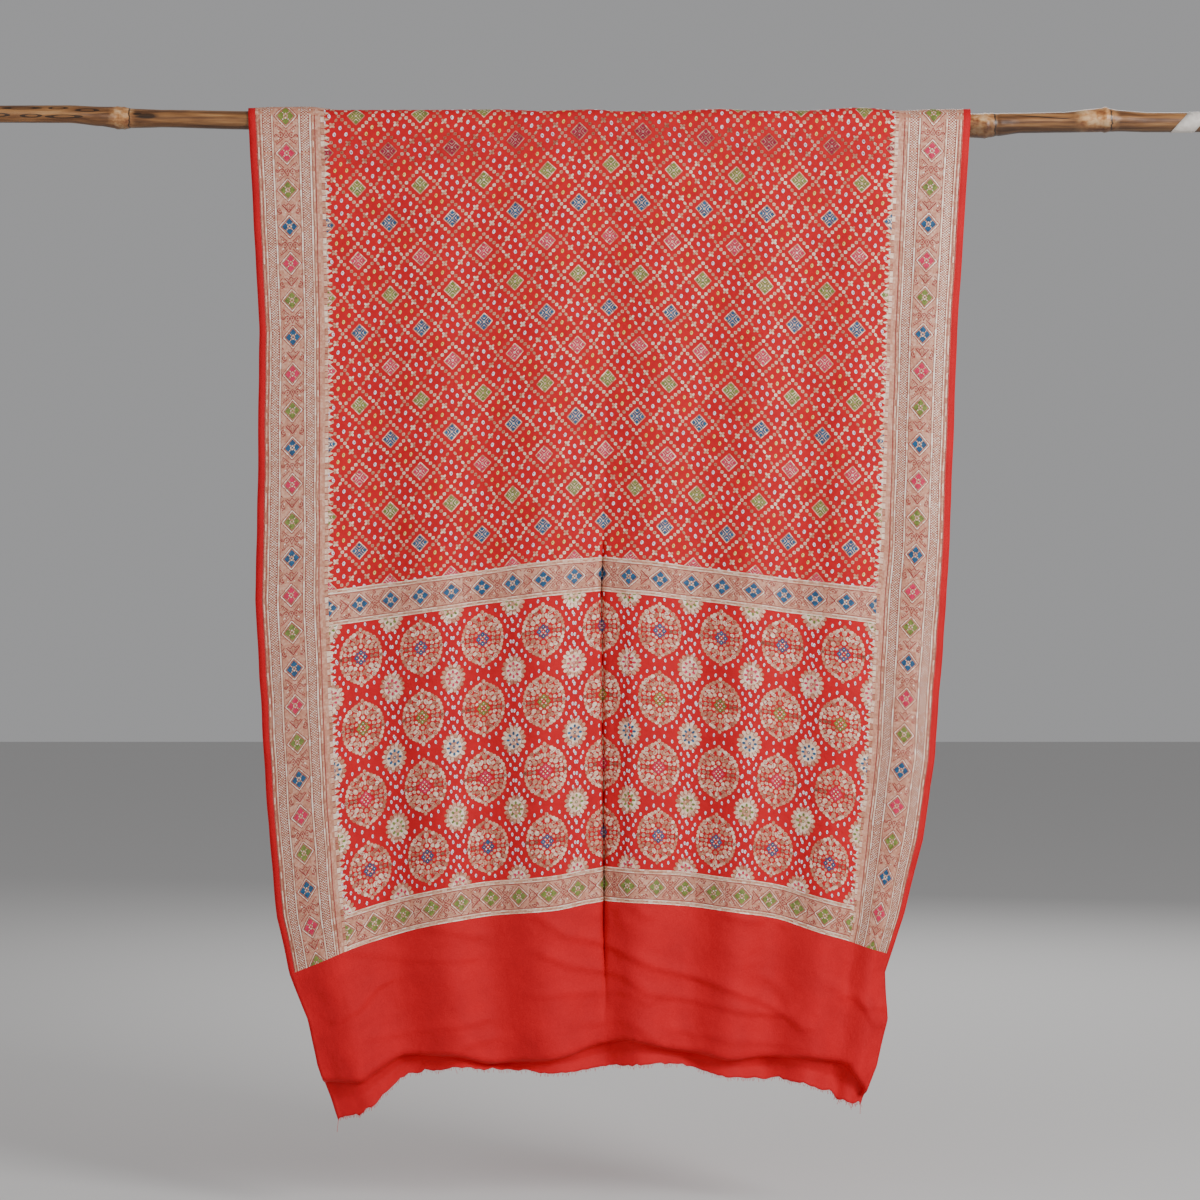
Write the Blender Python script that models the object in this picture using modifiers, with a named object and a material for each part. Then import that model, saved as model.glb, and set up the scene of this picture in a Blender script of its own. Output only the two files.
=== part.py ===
"""A bandhani dupatta hung over a bamboo pole.

Metres, +Z up. The origin is on the pole's axis, under the middle of the cloth. +X runs along
the pole, and the fall that is seen hangs on the -Y side.

The cloth is one woven length. A place on it is given by u, the distance from its middle line,
and t, the distance from its front raw edge, both measured on the flat cloth. Its woven design
sits on equal rows, so heights are stated at whole rows counted from the end of the design.
"""

import math

import bmesh
import bpy
import numpy as np

CLOTH_WIDTH = 0.93
CLOTH_LENGTH = 2.50
CLOTH_THICKNESS = 0.0016
ROW = 0.0468
ROWS = 44
PLAIN_END = (CLOTH_LENGTH - ROWS * ROW) / 2
HALF_WIDTH = CLOTH_WIDTH / 2

POLE_GAP = 0.0010
FOLD_DEPTH = 0.030
BACK_FOLD_DEPTH = 0.016
FALL_LENGTH = 1.20
BACK_HANG = 0.955
BACK_NARROWING = 0.985
LEDGE_DEPTH = 0.015
LIP = 0.004

COLUMNS_PER_FOLD = 3
ROWS_PER_STEP = 2
ARC_STEPS = 8
BACK_STEPS = 12
POLE_SIDES = 8
POLE_STEP = 0.020

# The pole from left to right: place along it, height of its middle, radius.
# The three short bulges are its nodes.
POLE = (
    (-0.800, 0.0075, 0.0108),
    (-0.690, 0.0075, 0.0112),
    (-0.650, 0.0045, 0.0125),
    (-0.625, 0.0025, 0.0143),
    (-0.604, 0.0020, 0.0122),
    (-0.570, 0.0018, 0.0111),
    (-0.462, -0.0005, 0.0117),
    (0.440, -0.0070, 0.0140),
    (0.478, -0.0075, 0.0156),
    (0.496, -0.0060, 0.0146),
    (0.525, -0.0040, 0.0128),
    (0.580, -0.0030, 0.0130),
    (0.615, -0.0010, 0.0146),
    (0.633, 0.0003, 0.0158),
    (0.652, -0.0012, 0.0134),
    (0.690, -0.0030, 0.0126),
    (0.778, -0.0030, 0.0124),
)

# Where the long lines of the cloth hang: height, then the place along the pole of the left
# edge, the left border's inner line, the middle, the right border's inner line, the right edge.
OUTLINE_AT = (-HALF_WIDTH, -0.3645, 0.0, 0.3645, HALF_WIDTH)
OUTLINE = (
    (0.020, -0.4616, -0.3645, 0.003, 0.3660, 0.4616),
    (-0.270, -0.4460, -0.3580, -0.001, 0.3540, 0.4430),
    (-0.540, -0.4490, -0.3575, -0.008, 0.3460, 0.4330),
    (-0.615, -0.4510, -0.3575, -0.010, 0.3400, 0.4285),
    (-0.810, -0.4400, -0.3510, -0.008, 0.3295, 0.4145),
    (-0.920, -0.4324, -0.3450, -0.007, 0.3180, 0.3990),
    (-1.018, -0.4227, -0.3370, -0.007, 0.3090, 0.3735),
    (-1.088, -0.4080, -0.3300, -0.006, 0.2990, 0.3510),
    (-1.147, -0.3840, -0.3160, -0.005, 0.2900, 0.3540),
    (-1.205, -0.3720, -0.3080, -0.004, 0.2850, 0.3405),
    (-1.277, -0.3460, -0.2900, -0.004, 0.2750, 0.3130),
)

# Heights of three rows of the weave, in the order of HANG_AT. Rows count from the plain end.
HANG_AT = (-HALF_WIDTH, -0.3645, -0.243, -0.162, -0.081, 0.0, 0.081, 0.162, 0.243, 0.3645, HALF_WIDTH)
ROW_TOP, ROW_BAND, ROW_PLAIN = 21, 10, 0
HANG_TOP = (-0.092, -0.091, -0.086, -0.079, -0.066, -0.058, -0.067, -0.073, -0.080, -0.086, -0.091)
HANG_BAND = (-0.614, -0.602, -0.587, -0.576, -0.565, -0.558, -0.566, -0.576, -0.586, -0.599, -0.608)
HANG_PLAIN = (-1.092, -1.059, -1.026, -1.016, -1.009, -0.997, -1.000, -1.007, -1.016, -1.048, -1.066)

# The foot of the front fall: place across the cloth, height of the crease, height of the raw edge.
HEM = (
    (-0.465, -1.225, -1.277),
    (-0.383, -1.225, -1.262),
    (-0.350, -1.211, -1.242),
    (-0.313, -1.193, -1.220),
    (-0.226, -1.191, -1.208),
    (-0.178, -1.203, -1.212),
    (-0.087, -1.197, -1.215),
    (-0.029, -1.183, -1.212),
    (0.033, -1.170, -1.206),
    (0.100, -1.184, -1.203),
    (0.189, -1.196, -1.220),
    (0.315, -1.193, -1.226),
    (0.396, -1.203, -1.250),
    (0.465, -1.241, -1.2565),
)

# The folds of the front fall: place across the cloth, share of the fold depth.
FOLDS = (
    (-0.465, 0.30),
    (-0.385, 0.80),
    (-0.302, 0.05),
    (-0.223, 0.80),
    (-0.162, 0.15),
    (-0.086, 0.90),
    (0.000, 0.00),
    (0.058, 0.75),
    (0.131, 0.10),
    (0.196, 0.85),
    (0.260, 0.15),
    (0.325, 0.80),
    (0.376, 0.30),
    (0.420, 0.60),
    (0.465, 0.20),
)
# The back fall hangs in fewer and softer folds.
BACK_FOLDS = (
    (-0.465, 0.20),
    (-0.330, 0.90),
    (-0.190, 0.10),
    (-0.060, 0.80),
    (0.070, 0.15),
    (0.210, 1.00),
    (0.340, 0.10),
    (0.465, 0.50),
)


def column(table, index):
    return [line[index] for line in table]


def eased(value, places, amounts):
    """The amount at value, running level through each stated place and easing between them."""
    index = int(np.clip(np.searchsorted(places, value) - 1, 0, len(places) - 2))
    share = (value - places[index]) / (places[index + 1] - places[index])
    share = min(max(share, 0.0), 1.0)
    share = share * share * (3 - 2 * share)
    return amounts[index] + (amounts[index + 1] - amounts[index]) * share


def straight(value, places, amounts):
    return float(np.interp(value, places, amounts))


def pole_height(x):
    return straight(x, column(POLE, 0), column(POLE, 1))


def pole_radius(x):
    return straight(x, column(POLE, 0), column(POLE, 2))


def bend_radius(x):
    """The radius of the cloth's middle surface where it lies over the pole."""
    return pole_radius(x) + POLE_GAP + CLOTH_THICKNESS / 2


def hang_x(u, z):
    """Where the line u of the cloth is along the pole at height z."""
    heights = column(OUTLINE, 0)[::-1]
    across = [straight(z, heights, column(OUTLINE, index)[::-1]) for index in range(1, 6)]
    return straight(u, OUTLINE_AT, across)


def leaving_row(u, height):
    """The row at which the front fall leaves the pole."""
    top = straight(u, HANG_AT, HANG_TOP)
    band = straight(u, HANG_AT, HANG_BAND)
    per_row = (top - band) / (ROW_TOP - ROW_BAND)
    return ROW_TOP + (height - top) / per_row


def growth(z):
    """Folds start from nothing at the pole and deepen downwards."""
    return min(max(-z / FALL_LENGTH, 0.0), 1.0) ** 0.8


def front_point(u, row):
    """A point of the front fall between the design's end and the pole."""
    rows = (ROW_PLAIN, ROW_BAND, ROW_TOP)
    heights = [straight(u, HANG_AT, hang) for hang in (HANG_PLAIN, HANG_BAND, HANG_TOP)]
    if row > ROW_TOP:
        z = heights[2] + (row - ROW_TOP) * (heights[2] - heights[1]) / (ROW_TOP - ROW_BAND)
    else:
        z = straight(row, rows, heights)
    x = hang_x(u, z)
    fold = FOLD_DEPTH * growth(z) * eased(u, column(FOLDS, 0), column(FOLDS, 1))
    return x, -bend_radius(x) - fold, z


def plain_points(u):
    """The plain end from its raw edge up: raw edge, back and front of the crease, two more."""
    _, y_design, z_design = front_point(u, ROW_PLAIN)
    z_crease = straight(u, column(HEM, 0), column(HEM, 1))
    z_edge = straight(u, column(HEM, 0), column(HEM, 2))
    points = [
        (hang_x(u, z_edge), y_design + LEDGE_DEPTH - LIP, z_edge),
        (hang_x(u, z_crease), y_design + LEDGE_DEPTH, z_crease - LIP),
        (hang_x(u, z_crease), y_design - LIP, z_crease),
    ]
    for share in (1 / 3, 2 / 3):
        z = z_crease + (z_design - z_crease) * share
        points.append((hang_x(u, z), y_design - LIP * (1 - share), z))
    return points


def back_points(u, row_leaving, x_pole):
    radius = bend_radius(x_pole)
    start = PLAIN_END + row_leaving * ROW + math.pi * radius
    length = (CLOTH_LENGTH - start) * BACK_HANG
    fold_share = eased(u, column(BACK_FOLDS, 0), column(BACK_FOLDS, 1))
    points = []
    for step in range(BACK_STEPS + 1):
        z = pole_height(x_pole) - length * step / BACK_STEPS
        narrowing = 1 - (1 - BACK_NARROWING) * growth(z)
        y = radius + BACK_FOLD_DEPTH * growth(z) * fold_share
        points.append((hang_x(u, z) * narrowing, y, z))
    return points


def warp_line(u):
    """The points of one lengthwise line, from the front raw edge over the pole to the back one."""
    x_pole = hang_x(u, 0.0)
    height = pole_height(x_pole)
    radius = bend_radius(x_pole)
    last_row = leaving_row(u, height)
    points = plain_points(u)
    points += [front_point(u, row) for row in range(0, ROW_TOP, ROWS_PER_STEP)]
    points.append(front_point(u, (ROW_TOP - 1 + last_row) / 2))
    for step in range(ARC_STEPS):
        angle = math.pi * step / ARC_STEPS
        points.append((x_pole, -radius * math.cos(angle), height + radius * math.sin(angle)))
    return points + back_points(u, last_row, x_pole)


def fold_columns():
    """Places across the cloth: each fold's own line, and a few between."""
    places = column(FOLDS, 0)
    found = []
    for left, right in zip(places, places[1:]):
        found += [left + (right - left) * step / COLUMNS_PER_FOLD for step in range(COLUMNS_PER_FOLD)]
    return found + [places[-1]]


def make_material(name, colour, roughness):
    material = bpy.data.materials.new(name)
    material.use_nodes = True
    shader = material.node_tree.nodes["Principled BSDF"]
    shader.inputs["Base Color"].default_value = (*colour, 1.0)
    shader.inputs["Roughness"].default_value = roughness
    shader.inputs["Metallic"].default_value = 0.0
    return material


def make_cloth(collection):
    """A flat grid moved line by line into the drape, then given its thickness."""
    lines = [warp_line(u) for u in fold_columns()]
    across, along = len(lines), len(lines[0])
    shape = bmesh.new()
    bmesh.ops.create_grid(shape, x_segments=across - 1, y_segments=along - 1, size=1.0)
    for vert in shape.verts:
        line = round((vert.co.x + 1) / 2 * (across - 1))
        place = round((vert.co.y + 1) / 2 * (along - 1))
        vert.co = lines[line][place]
    bmesh.ops.recalc_face_normals(shape, faces=shape.faces)
    mesh = bpy.data.meshes.new("bandhani_cloth")
    shape.to_mesh(mesh)
    shape.free()
    mesh.shade_smooth()
    mesh.materials.append(make_material("georgette", (0.45, 0.008, 0.014), 0.7))
    cloth = bpy.data.objects.new("bandhani_cloth", mesh)
    collection.objects.link(cloth)
    body = cloth.modifiers.new("thickness", "SOLIDIFY")
    body.thickness = CLOTH_THICKNESS
    body.offset = 0.0
    return cloth


def make_pole(collection):
    """A tube whose radius swells at each node, with flat ends."""
    start, end = POLE[0][0], POLE[-1][0]
    steps = round((end - start) / POLE_STEP)
    places = {round(start + (end - start) * step / steps, 4) for step in range(steps + 1)}
    places = sorted(places | set(column(POLE, 0)))
    curve = bpy.data.curves.new("bamboo_pole", "CURVE")
    curve.dimensions = "3D"
    curve.bevel_depth = 1.0
    curve.bevel_resolution = POLE_SIDES
    curve.use_fill_caps = True
    spline = curve.splines.new("POLY")
    spline.points.add(len(places) - 1)
    for point, x in zip(spline.points, places):
        point.co = (x, 0.0, pole_height(x), 1.0)
        point.radius = pole_radius(x)
    curve.materials.append(make_material("bamboo", (0.26, 0.15, 0.07), 0.45))
    pole = bpy.data.objects.new("bamboo_pole", curve)
    collection.objects.link(pole)
    return pole


def main():
    for old in list(bpy.data.objects):
        bpy.data.objects.remove(old, do_unlink=True)
    collection = bpy.data.collections.new("bandhani_cloth_on_pole")
    bpy.context.scene.collection.children.link(collection)
    make_pole(collection)
    make_cloth(collection)


main()
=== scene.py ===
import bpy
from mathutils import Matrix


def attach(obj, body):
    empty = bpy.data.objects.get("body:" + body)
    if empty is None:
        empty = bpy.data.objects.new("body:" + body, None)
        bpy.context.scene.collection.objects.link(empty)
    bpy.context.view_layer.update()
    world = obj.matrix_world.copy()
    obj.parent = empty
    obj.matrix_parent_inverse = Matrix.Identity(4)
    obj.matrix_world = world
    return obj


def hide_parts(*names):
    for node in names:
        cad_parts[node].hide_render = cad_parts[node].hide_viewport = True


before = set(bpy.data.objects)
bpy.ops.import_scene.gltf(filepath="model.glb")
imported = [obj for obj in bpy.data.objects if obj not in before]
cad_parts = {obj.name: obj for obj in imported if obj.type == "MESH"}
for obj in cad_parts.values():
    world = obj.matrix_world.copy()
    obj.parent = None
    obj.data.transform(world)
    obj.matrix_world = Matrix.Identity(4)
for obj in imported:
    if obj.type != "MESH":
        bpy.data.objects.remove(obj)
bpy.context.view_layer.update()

# A bandhani dupatta with a woven zari border, hung over a bamboo pole.
#
# Metres, +Z up, +X along the pole, and the fall that is seen hangs on the -Y side. A place on the
# cloth is given by u, the distance from its middle line, and t, the distance from its front raw
# edge, both on the flat cloth. The woven motifs are drawn flat, in millimetres, as small shapes
# of thread, and every shape is then carried to where the drape has that part of the cloth.

import math

import bpy
import numpy as np
from mathutils import Vector, noise

# ---------------------------------------------------------------- sizes of the cloth

CLOTH_WIDTH = 0.93
CLOTH_LENGTH = 2.50
CAD_THICKNESS = 0.0016
SHOWN_THICKNESS = 0.0005
ROW = 0.0468
ROWS = 44
PLAIN_END = (CLOTH_LENGTH - ROWS * ROW) / 2
HALF_WIDTH = CLOTH_WIDTH / 2
SELVAGE = 0.0095
BORDER_LINE = 0.3645
PITCH = 2 * BORDER_LINE / 9
MILLIMETRE = 0.001

POLE_GAP = 0.0010
FOLD_DEPTH = 0.030
BACK_FOLD_DEPTH = 0.016
FALL_LENGTH = 1.20
BACK_HANG = 0.955
BACK_NARROWING = 0.985
LEDGE_DEPTH = 0.015
LIP = 0.004
CREASE_ROUND = 0.004
FOLD_GROWTH = 0.8
HANG_ROUNDING = 4

# The pole from left to right: place along it, height of its middle, radius.
POLE = (
    (-0.800, 0.0075, 0.0108),
    (-0.690, 0.0075, 0.0112),
    (-0.650, 0.0045, 0.0125),
    (-0.625, 0.0025, 0.0143),
    (-0.604, 0.0020, 0.0122),
    (-0.570, 0.0018, 0.0111),
    (-0.462, -0.0005, 0.0117),
    (0.440, -0.0070, 0.0140),
    (0.478, -0.0075, 0.0156),
    (0.496, -0.0060, 0.0146),
    (0.525, -0.0040, 0.0128),
    (0.580, -0.0030, 0.0130),
    (0.615, -0.0010, 0.0146),
    (0.633, 0.0003, 0.0158),
    (0.652, -0.0012, 0.0134),
    (0.690, -0.0030, 0.0126),
    (0.778, -0.0030, 0.0124),
)

# Where the long lines of the cloth hang: height, then the place along the pole of the left
# edge, the left border's inner line, the middle, the right border's inner line, the right edge.
OUTLINE_AT = (-HALF_WIDTH, -BORDER_LINE, 0.0, BORDER_LINE, HALF_WIDTH)
OUTLINE = (
    (0.020, -0.4616, -0.3645, 0.003, 0.3660, 0.4616),
    (-0.270, -0.4460, -0.3580, -0.001, 0.3540, 0.4430),
    (-0.540, -0.4490, -0.3575, -0.008, 0.3460, 0.4330),
    (-0.615, -0.4510, -0.3575, -0.010, 0.3400, 0.4285),
    (-0.810, -0.4400, -0.3510, -0.008, 0.3295, 0.4145),
    (-0.920, -0.4324, -0.3450, -0.007, 0.3180, 0.3990),
    (-1.018, -0.4227, -0.3370, -0.007, 0.3090, 0.3735),
    (-1.088, -0.4080, -0.3300, -0.006, 0.2990, 0.3510),
    (-1.147, -0.3840, -0.3160, -0.005, 0.2900, 0.3540),
    (-1.205, -0.3720, -0.3080, -0.004, 0.2850, 0.3405),
    (-1.277, -0.3460, -0.2900, -0.004, 0.2750, 0.3130),
)

# Heights of three rows of the weave, in the order of HANG_AT. Rows count from the plain end.
HANG_AT = (
    -HALF_WIDTH, -BORDER_LINE, -0.243, -0.162, -0.081, 0.0, 0.081, 0.162, 0.243, BORDER_LINE, HALF_WIDTH,
)
ROW_TOP, ROW_BAND, ROW_PLAIN = 21, 10, 0
HANG_TOP = (-0.092, -0.091, -0.086, -0.079, -0.066, -0.058, -0.067, -0.073, -0.080, -0.086, -0.091)
HANG_BAND = (-0.614, -0.602, -0.587, -0.576, -0.565, -0.558, -0.566, -0.576, -0.586, -0.599, -0.608)
HANG_PLAIN = (-1.092, -1.059, -1.026, -1.016, -1.009, -0.997, -1.000, -1.007, -1.016, -1.048, -1.066)

# The foot of the front fall: place across the cloth, height of the crease, height of the raw edge.
HEM = (
    (-0.465, -1.225, -1.277),
    (-0.383, -1.225, -1.262),
    (-0.350, -1.211, -1.242),
    (-0.313, -1.193, -1.220),
    (-0.226, -1.191, -1.208),
    (-0.178, -1.203, -1.212),
    (-0.087, -1.197, -1.215),
    (-0.029, -1.183, -1.212),
    (0.033, -1.170, -1.206),
    (0.100, -1.184, -1.203),
    (0.189, -1.196, -1.220),
    (0.315, -1.193, -1.226),
    (0.396, -1.203, -1.250),
    (0.465, -1.241, -1.2565),
)

# The folds of the front fall: place across the cloth, share of the fold depth.
FOLDS = (
    (-0.465, 0.30),
    (-0.385, 0.80),
    (-0.302, 0.05),
    (-0.223, 0.80),
    (-0.162, 0.15),
    (-0.086, 0.90),
    (0.000, 0.00),
    (0.058, 0.75),
    (0.131, 0.10),
    (0.196, 0.85),
    (0.260, 0.15),
    (0.325, 0.80),
    (0.376, 0.30),
    (0.420, 0.60),
    (0.465, 0.20),
)
# The back fall hangs in fewer and softer folds.
BACK_FOLDS = (
    (-0.465, 0.20),
    (-0.330, 0.90),
    (-0.190, 0.10),
    (-0.060, 0.80),
    (0.070, 0.15),
    (0.210, 1.00),
    (0.340, 0.10),
    (0.465, 0.50),
)

# The narrow pleat down the middle of the front: height, share of its depth.
SLIT_DEPTH = 0.013
SLIT_HALF_WIDTH = 0.0045
SLIT = (
    (0.0, 0.0),
    (-0.30, 0.06),
    (-0.52, 0.18),
    (-0.58, 0.85),
    (-0.70, 0.55),
    (-0.96, 0.9),
    (-1.03, 0.7),
    (-1.16, 0.0),
)

# Soft lengthwise creases of the front: place across, top, bottom, height of the ridge.
LONG_CREASES = (
    (0.043, -0.52, -0.98, 0.0022),
    (0.250, -0.30, -0.70, 0.0012),
    (0.300, -0.35, -0.74, 0.0014),
    (-0.118, -0.55, -0.95, 0.0012),
    (-0.330, -0.60, -1.00, 0.0014),
)
LONG_CREASE_HALF_WIDTH = 0.005

# Short level creases of the right border: height, how far in they reach, depth.
BORDER_CREASES = ((-0.695, 0.07, 0.002), (-0.802, 0.10, 0.003), (-0.852, 0.06, 0.002), (-0.957, 0.09, 0.003))

# Creases of the plain end, as lines along the fall: ridge height, then places (along, height).
CREASES = (
    (0.0032, (-0.085, -1.020), (-0.055, -1.040), (-0.010, -1.050), (0.058, -1.080), (0.126, -1.098),
     (0.188, -1.121), (0.226, -1.142), (0.246, -1.158)),
    (0.0026, (-0.085, -1.064), (-0.048, -1.078), (0.014, -1.090), (0.048, -1.113), (0.126, -1.126),
     (0.176, -1.137), (0.214, -1.142)),
    (0.0016, (-0.096, -1.116), (0.010, -1.112), (0.030, -1.114), (0.048, -1.126)),
    (0.0020, (-0.020, -1.154), (0.018, -1.146), (0.050, -1.165), (0.062, -1.185)),
    (0.0026, (-0.346, -1.150), (-0.318, -1.133), (-0.298, -1.108), (-0.280, -1.098)),
    (0.0020, (-0.200, -1.190), (-0.180, -1.179), (-0.152, -1.174)),
    (0.0022, (0.289, -1.106), (0.299, -1.121)),
    (0.0026, (0.314, -1.118), (0.327, -1.135), (0.340, -1.155)),
    (0.0018, (0.184, -1.078), (0.194, -1.100)),
    (0.0018, (0.202, -1.095), (0.217, -1.109), (0.229, -1.135)),
    (0.0016, (0.327, -1.130), (0.354, -1.133)),
    (0.0020, (0.011, -1.008), (0.017, -1.027)),
    (0.0020, (0.035, -1.008), (0.043, -1.018)),
    (0.0022, (0.150, -1.015), (0.186, -1.023)),
    (0.0022, (0.209, -1.013), (0.227, -1.032)),
    (0.0018, (-0.230, -1.029), (-0.167, -1.042)),
    (0.0014, (-0.330, -1.060), (-0.250, -1.072), (-0.170, -1.070)),
    (0.0014, (-0.300, -1.170), (-0.230, -1.160), (-0.160, -1.150)),
    (0.0014, (0.080, -1.160), (0.150, -1.172), (0.230, -1.180)),
)
CREASE_HALF_WIDTH = 0.0045

# The cloth doesn't lie quite flat on the pole: place across, how far it stands up there.
TOP_SLACK = (
    (-0.465, 0.002), (-0.430, 0.0035), (-0.385, 0.004), (-0.345, 0.000), (-0.260, 0.0005), (-0.140, 0.0015),
    (-0.090, 0.000), (-0.025, 0.0022), (0.012, 0.000), (0.075, 0.0008), (0.140, 0.0035), (0.190, 0.0015),
    (0.240, 0.0018), (0.320, 0.006), (0.375, 0.0025), (0.420, 0.0045), (0.465, 0.0045),
)

# Steps of the shown cloth.
COLUMN_STEP = 0.0066
PLAIN_STEP = 0.0035
FRONT_STEPS_A_ROW = 6
TOP_ROWS = (22, 25)
TOP_STEPS_A_ROW = 14
BACK_STEPS_A_ROW = 3


def column(table, index):
    return np.array([line[index] for line in table])


def eased(values, places, amounts):
    """The amounts at values, level through each stated place and easing between them."""
    places, amounts = np.asarray(places), np.asarray(amounts)
    index = np.clip(np.searchsorted(places, values) - 1, 0, len(places) - 2)
    share = np.clip((values - places[index]) / (places[index + 1] - places[index]), 0, 1)
    share = share * share * (3 - 2 * share)
    return amounts[index] + (amounts[index + 1] - amounts[index]) * share


def falling(values, table, index):
    """A table whose first column runs downwards, read at values."""
    return np.interp(values, column(table, 0)[::-1], column(table, index)[::-1])


def smoothed(values, reach):
    """A running mean over a row of columns, reach columns each way."""
    padded = np.pad(values, reach, mode="edge")
    kernel = np.ones(2 * reach + 1) / (2 * reach + 1)
    return np.convolve(padded, kernel, mode="valid")


def waves(first, second, scale, seed):
    """Smooth noise at places given by two arrays, from -1 to 1."""
    places = zip((first * scale).ravel(), (second * scale).ravel())
    found = [noise.noise(Vector((a, b, seed))) for a, b in places]
    return np.array(found).reshape(first.shape)


def growth(z):
    """Folds start from nothing at the pole and deepen downwards."""
    return np.clip(-z / FALL_LENGTH, 0, 1) ** FOLD_GROWTH


# ---------------------------------------------------------------- the drape


def cloth_columns():
    steps = round(CLOTH_WIDTH / COLUMN_STEP)
    even = np.linspace(-HALF_WIDTH, HALF_WIDTH, steps + 1)
    lines = [0.0, BORDER_LINE, HALF_WIDTH - SELVAGE, 0.0022, 0.0045, 0.0085, 0.013]
    lines = np.array([side * line for line in lines for side in (-1, 1)])
    even = even[np.min(np.abs(even[:, None] - lines[None, :]), axis=1) > 0.0018]
    return np.unique(np.round(np.concatenate([even, lines]), 5))


def cloth_rows():
    plain = np.linspace(0, PLAIN_END, round(PLAIN_END / PLAIN_STEP) + 1)
    parts = [plain]
    for row in range(ROWS):
        steps = FRONT_STEPS_A_ROW if row < TOP_ROWS[0] else BACK_STEPS_A_ROW
        if TOP_ROWS[0] <= row < TOP_ROWS[1]:
            steps = TOP_STEPS_A_ROW
        parts.append(PLAIN_END + ROW * (row + np.arange(1, steps + 1) / steps))
    parts.append(CLOTH_LENGTH - plain[::-1][1::3])
    return np.concatenate(parts)


def plain_end(z_design, y_design, rows):
    """Heights and depths of the plain end: a straight fall, the crease, and the strip below it."""
    u = COLUMNS
    z_crease = smoothed(np.interp(u, column(HEM, 0), column(HEM, 1)), 1)
    z_edge = smoothed(np.interp(u, column(HEM, 0), column(HEM, 2)), 1)
    z_edge += 0.0045 * waves(u, np.zeros_like(u), 45, 3.1) + 0.0025 * waves(u, np.zeros_like(u), 130, 5.7)
    zero = np.zeros_like(u)
    strip = (z_crease + z_edge) / 2
    heights = np.stack([z_design, z_crease + CREASE_ROUND, z_crease, z_crease - LIP, strip, z_edge])
    depths = np.stack([zero, zero - LIP * 0.8, zero - LIP * 0.2, zero + LEDGE_DEPTH * 0.7,
                       zero + LEDGE_DEPTH, zero + LEDGE_DEPTH * 0.6])
    steps = np.hypot(np.diff(heights, axis=0), np.diff(depths, axis=0))
    along = np.concatenate([zero[None], np.cumsum(steps, axis=0)])
    along /= along[-1]
    z = np.empty((len(rows), len(u)))
    y = np.empty_like(z)
    share = 1 - rows / PLAIN_END
    for index in range(len(u)):
        z[:, index] = np.interp(share, along[:, index], heights[:, index])
        y[:, index] = y_design[index] + np.interp(share, along[:, index], depths[:, index])
    return z, y


def crease_ridges(x, z):
    """How far the plain end's creases lift it off its smooth fall, at each point."""
    lift = np.zeros_like(x)
    for ridge, *places in CREASES:
        nearest = np.full_like(x, 1.0)
        side = np.zeros_like(x)
        for (x0, z0), (x1, z1) in zip(places, places[1:]):
            run = np.array([x1 - x0, z1 - z0])
            share = np.clip(((x - x0) * run[0] + (z - z0) * run[1]) / (run @ run), 0, 1)
            off_x, off_z = x - x0 - share * run[0], z - z0 - share * run[1]
            away = np.hypot(off_x, off_z)
            closer = away < nearest
            nearest = np.where(closer, away, nearest)
            side = np.where(closer, off_z, side)
        reach = np.where(side > 0, CREASE_HALF_WIDTH * 2.2, CREASE_HALF_WIDTH * 0.8)
        lift += ridge * np.exp(-((nearest / reach) ** 2))
    return lift


def row_places(y, z):
    """Each point's place along the pole: the cloth keeps its length across, between its long lines."""
    widths = np.diff(COLUMNS)[None, :]
    steps = np.sqrt(np.maximum(widths**2 - np.diff(y, axis=1) ** 2, 0.3 * widths**2))
    run = np.concatenate([np.zeros((len(y), 1)), np.cumsum(steps, axis=1)], axis=1)
    knots = [int(np.argmin(np.abs(COLUMNS - place))) for place in OUTLINE_AT]
    x = np.empty_like(y)
    for index, (left, right) in enumerate(zip(knots, knots[1:])):
        part = slice(left, right + 1)
        share = (run[:, part] - run[:, left : left + 1]) / (run[:, right] - run[:, left])[:, None]
        x_left = falling(z[:, part], OUTLINE, index + 1)
        x_right = falling(z[:, part], OUTLINE, index + 2)
        x[:, part] = x_left + (x_right - x_left) * share
    return x


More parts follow.
